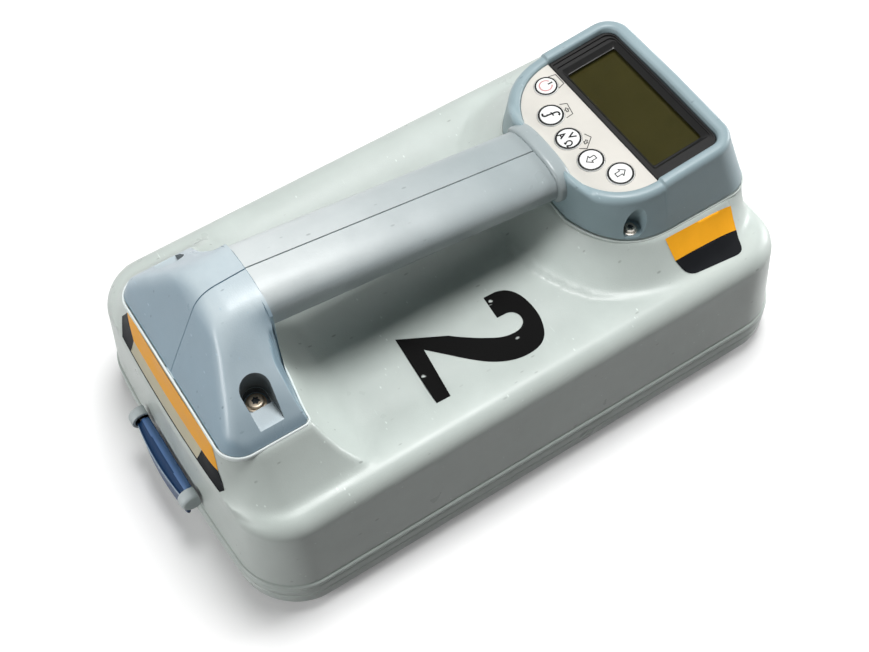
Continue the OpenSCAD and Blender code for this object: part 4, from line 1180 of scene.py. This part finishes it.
bowl_in = smooth_loop([
    (27.0, -30.2), (38.5, -19.2), (45.6, -10.6), (50.3, -3.8), (53.3, 1.6), (54.6, 6.7), (54.4, 11.5),
    (52.0, 15.2), (48.0, 16.1), (44.6, 14.2), (43.2, 10.8), (43.1, 6.1)])[:-12]
bowl_out = smooth_loop([
    (29.6, 7.0), (29.8, 13.5), (32.3, 19.2), (38.0, 23.0), (46.7, 24.4), (55.5, 23.5), (63.6, 19.8),
    (68.0, 14.2), (69.2, 6.6), (67.6, -1.5), (62.8, -9.9), (55.2, -18.2), (45.6, -27.1),
    (38.8, -33.4)])[:-6]
numeral = np.concatenate([[(26.1, -42.0)], bowl_in[6:], [(43.1, 6.1), (29.6, 7.0)], bowl_out[6:-6],
                          [(38.8, -33.4), (67.8, -37.0), (67.5, -44.6)]])
lay_film("painted_numeral", numeral, paint.material, "housing_plastic", lift=0.08)

# %% The front label
def rounded_corner(a, b, c, r, count=6):
    a, b, c = (np.asarray(p, float) for p in (a, b, c))
    p, q = b + unit(a - b) * r, b + unit(c - b) * r
    return [(1 - t) ** 2 * p + 2 * t * (1 - t) * b + t * t * q for t in np.linspace(0, 1, count)]


line_near, line_far = (68.6, 94.2), (69.0, 132.6)
dark_far = rounded_corner(line_far, (80.2, 129.4), (77.2, 98.5), 5)
dark_near = rounded_corner((80.2, 129.4), (77.0, 97.6), line_near, 5)
amber = along((60.0, 93.3), (60.6, 134.0), line_far, line_near, (60.0, 93.3))
dark = along(line_near, line_far, dark_far[0]) + dark_far[:-1]
dark += along(dark_far[-1], *dark_near, line_near)
lay_film("front_label_amber", amber, label_amber, "bezel_plastic", pitch=1.2)
lay_film("front_label_dark", dark, label_black, "bezel_plastic", pitch=1.2)

# %% The rear label
TOP, MID, LOW = 98.0, 83.0, 73.6
rear_label = {
    "amber": (label_amber, (-43.0, TOP), (41.5, TOP), (47.6, MID), (-36.0, MID), (-44.5, 94.0)),
    "cream": (label_cream, (-36.0, MID), (34.0, MID), (31.5, LOW), (-38.0, LOW)),
    "dark_right": (label_black, (34.0, MID), (47.6, MID), (54.0, 75.6), (52.6, LOW), (31.5, LOW)),
    "dark_left": (label_black, (-44.5, 94.0), (-36.0, MID), (-38.0, LOW), (-49.0, LOW), (-54.0, 80.0)),
    # The edge strip is not label film: it is a dark line painted as shade along the crease below the
    # label.
    "edge": (label_black, (-49.0, LOW), (52.6, LOW), (52.0, LOW - 0.9), (-48.4, LOW - 0.9))}
for word, (finish, *corners) in rear_label.items():
    lay_film("rear_label_" + word, along(*corners, corners[0]), finish, "bezel_plastic", pitch=1.6,
             onto=on_rear_flank)

# %% [markdown]
# ## Latch
# A blue lever hangs between two grey ears and turns on a pin. Seen from above it has a rounded back
# over the pin, a hollow for the fingertips and a thin lip, and it bows outwards in the middle. Its
# profile is drawn from the side and swept along the pin, drawn in a little towards the ends.

# %% Latch lever
LEVER_W2 = 24
lever_profile = smooth_loop([
    (3.3, 0.5), (2.5, 2.7), (0.6, 3.6), (-1.2, 2.9), (-2.6, 1.3), (-3.8, 0.5), (-4.6, 0.9),
    (-5.3, 0.7), (-5.5, -0.4), (-5.2, -2.2), (-5.2, -7.0), (-5.3, -12.0), (-5.4, -17.5),
    (-5.1, -19.3), (-4.1, -20.0), (-2.9, -19.3), (-2.2, -17.0), (-1.8, -10.0), (-1.2, -5.2),
    (0.6, -3.6), (2.4, -2.4)], per=4)
lever_end = np.array([22.4, 23.3, 23.8, LEVER_W2])


def lever_bend(x):
    return 1 - 0.34 * (x / LEVER_W2) ** 2


def lever_ring(x):
    out, rise = lever_profile.T
    yz = columns(np.where(out < 0, out * lever_bend(x), out), rise)
    end = max(0.0, (abs(x) - 22.2) / 1.8)
    yz = yz.mean(0) + (yz - yz.mean(0)) * (1 - 0.10 * end ** 2)
    return columns(x, LATCH_Y + yz[:, 0], LATCH_Z + yz[:, 1])


lever_x = np.concatenate([-lever_end[::-1], np.linspace(-21, 21, 29), lever_end])
lever = make_piece("latch_blue_lever", loft([lever_ring(x) for x in lever_x], True), latch_plastic,
                   "latch_plastic", "latch_lever", body="latch", sharp=45)
# Painted highlights: the pale lip and the lighter blue back over the pin stand for light falling on
# the lever.
repaint(lever, lever_lip_highlight, lambda x, y, z, up: (
    y - LATCH_Y < -5.05 * lever_bend(x) and z - LATCH_Z > -1.2))
repaint(lever, lever_back_lit, lambda x, y, z, up: y - LATCH_Y > -0.9 and z > LATCH_Z)

# %% Latch ears
EAR_BACK_Y = -157.6
ear_rows = [(30.4, 4.2), (30.2, 5.0), (29.6, 5.6), (28.6, 6.0), (25.0, 6.0), (24.5, 5.7), (24.4, 5.3),
            (24.4, 4.4), (24.7, 4.2), (27.6, 4.1)]
for side, word in SIDES[::-1]:
    rings = []
    for x, r in ear_rows:
        y, z = circle((LATCH_Y, LATCH_Z), r, 64).T
        rings.append(columns(side * x, np.minimum(y, EAR_BACK_Y), z))
    ear = make_piece("latch_ear_" + word, loft(rings, True), ear_plastic, "housing_plastic",
                     "latch_bracket", sharp=45)
    # The inside of the ear's bore is painted dark as shade.
    repaint(ear, dark_plastic, lambda x, y, z, up: (
        abs(x) < 28 and math.hypot(y - LATCH_Y, z - LATCH_Z) < 4.5))

# %% [markdown]
# ## The CAD nodes that stay
# Boards, cells, pins, hinge and sockets keep their exact solids and get a finish of their own.

# %% Finishes on the carried-over nodes
finish_of = {
    "display_window": window.material, "lcd_panel": lcd_olive, "keypad_board": board_green,
    "chassis": dark_plastic, "main_board": board_green, "ribbon_cable": cable_grey,
    "sounder": dark_plastic, "output_transformer": copper, "ferrite_core": ferrite,
    "induction_winding": copper, "socket_panel": dark_plastic, "housing_hinge_leaf": hinge_metal,
    "hinge_pin": steel, "latch_pin": steel, "tray_feet": rubber, "tray_hinge_leaf": hinge_metal,
    "cell_cradle": dark_plastic, "battery_cells": cell_jacket, "battery_contacts": steel}
for name, finish in finish_of.items():
    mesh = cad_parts[name].data
    mesh.materials.clear()
    mesh.materials.append(finish)
print("finished nodes", len(finish_of))

# %% [markdown]
# ## Floor, light and camera
# The object stands on a white table in soft studio light: a large lamp straight above, so that the
# valley under the handle and the upright walls stay in half shade, a weak one on the far side, and
# low ones at the front and the rear. The table shows white to the camera and in reflections and
# keeps the shadow. It throws little light back, and away from the object it glows until it is white.

# %% Floor
TABLE = 6.0
floor_mesh = bpy.data.meshes.new("table")
floor_mesh.from_pydata([(-TABLE, -TABLE, 0), (TABLE, -TABLE, 0), (TABLE, TABLE, 0),
                        (-TABLE, TABLE, 0)], [], [(0, 1, 2, 3)])
floor = stand("table", floor_mesh)
table = Finish("table_white", (0.80, 0.80, 0.80), 0.9)
floor_mesh.materials.append(table.material)


def seen_directly(tree):
    path = tree.add("ShaderNodeLightPath").outputs
    reflected = tree.combine("MAXIMUM", path["Is Glossy Ray"], path["Is Transmission Ray"])
    return tree.combine("MAXIMUM", path["Is Camera Ray"], reflected)


table_seen = seen_directly(table)
table.put("Base Color", table.tint(table_seen, (0.06, 0.06, 0.06), (0.90, 0.90, 0.90)))
from_middle = table.add("ShaderNodeVectorMath", operation="LENGTH", Vector=table.object_space())
far_glow = table.ramp(from_middle.outputs["Value"], 0.30, 0.90, 0.12, 1.0)
glow = table.add("ShaderNodeEmission", Color=(1, 1, 1), Strength=table.times(table_seen, far_glow))
both = table.add("ShaderNodeAddShader")
table.wire(table.shader.outputs["BSDF"], both.inputs[0])
table.wire(glow.outputs["Emission"], both.inputs[1])
table.wire(both.outputs["Shader"], table.nodes["Material Output"].inputs["Surface"])
print("table laid")

# %% Light
world = bpy.data.worlds.new("studio")
bpy.context.scene.world = world
world.use_nodes = True
sky = NodeTree(world.node_tree)
background = sky.nodes["Background"].inputs
background["Color"].default_value = (1, 1, 1, 1)
sky.wire(sky.ramp(seen_directly(sky), 0.0, 1.0, 0.05, 1.0), background["Strength"])


def lamp(name, place, target, size, power):
    data = bpy.data.lights.new(name, "AREA")
    data.shape, data.size, data.energy = "DISK", size, power
    light = stand(name, data)
    light.location = place
    light.rotation_euler = (Vector(target) - Vector(place)).to_track_quat("-Z", "Y").to_euler()


lamp("soft_key", (-0.12, 0.22, 1.35), (0, 0, 0.05), 0.55, 16.0)
lamp("soft_far", (-0.62, 0.50, 1.30), (0, 0, 0.05), 0.6, 1.2)
lamp("soft_front", (0.15, 1.4, 0.40), (0, 0, 0.05), 0.5, 12.0)
lamp("soft_rear", (0.0, -1.35, 0.50), (0, -0.1, 0.05), 0.6, 9.0)

# %% Camera
AZIMUTH, ELEVATION, ROLL = math.radians(59.7), math.radians(57.14), math.radians(-2.87)
CAMERA_SPOT, SENSOR, FOCAL_PIXELS, PICTURE_PIXELS = (0.34894, -0.20802, 0.64331), 36.0, 1400, 869
flat = math.cos(ELEVATION)
back = Vector((math.sin(AZIMUTH) * flat, -math.cos(AZIMUTH) * flat, math.sin(ELEVATION)))
right = Vector((0, 0, 1)).cross(back).normalized()
up = back.cross(right)
turned_right = right * math.cos(ROLL) + up * math.sin(ROLL)
turned_up = up * math.cos(ROLL) - right * math.sin(ROLL)
camera_data = bpy.data.cameras.new("camera")
camera_data.sensor_width, camera_data.lens = SENSOR, SENSOR * FOCAL_PIXELS / PICTURE_PIXELS
camera = stand("camera", camera_data)
turn = Matrix((turned_right, turned_up, back)).transposed()
camera.matrix_world = Matrix.Translation(CAMERA_SPOT) @ turn.to_4x4()
bpy.context.scene.camera = camera
bpy.context.scene.view_settings.view_transform = "Standard"
print("camera lens %.1f mm" % camera_data.lens)
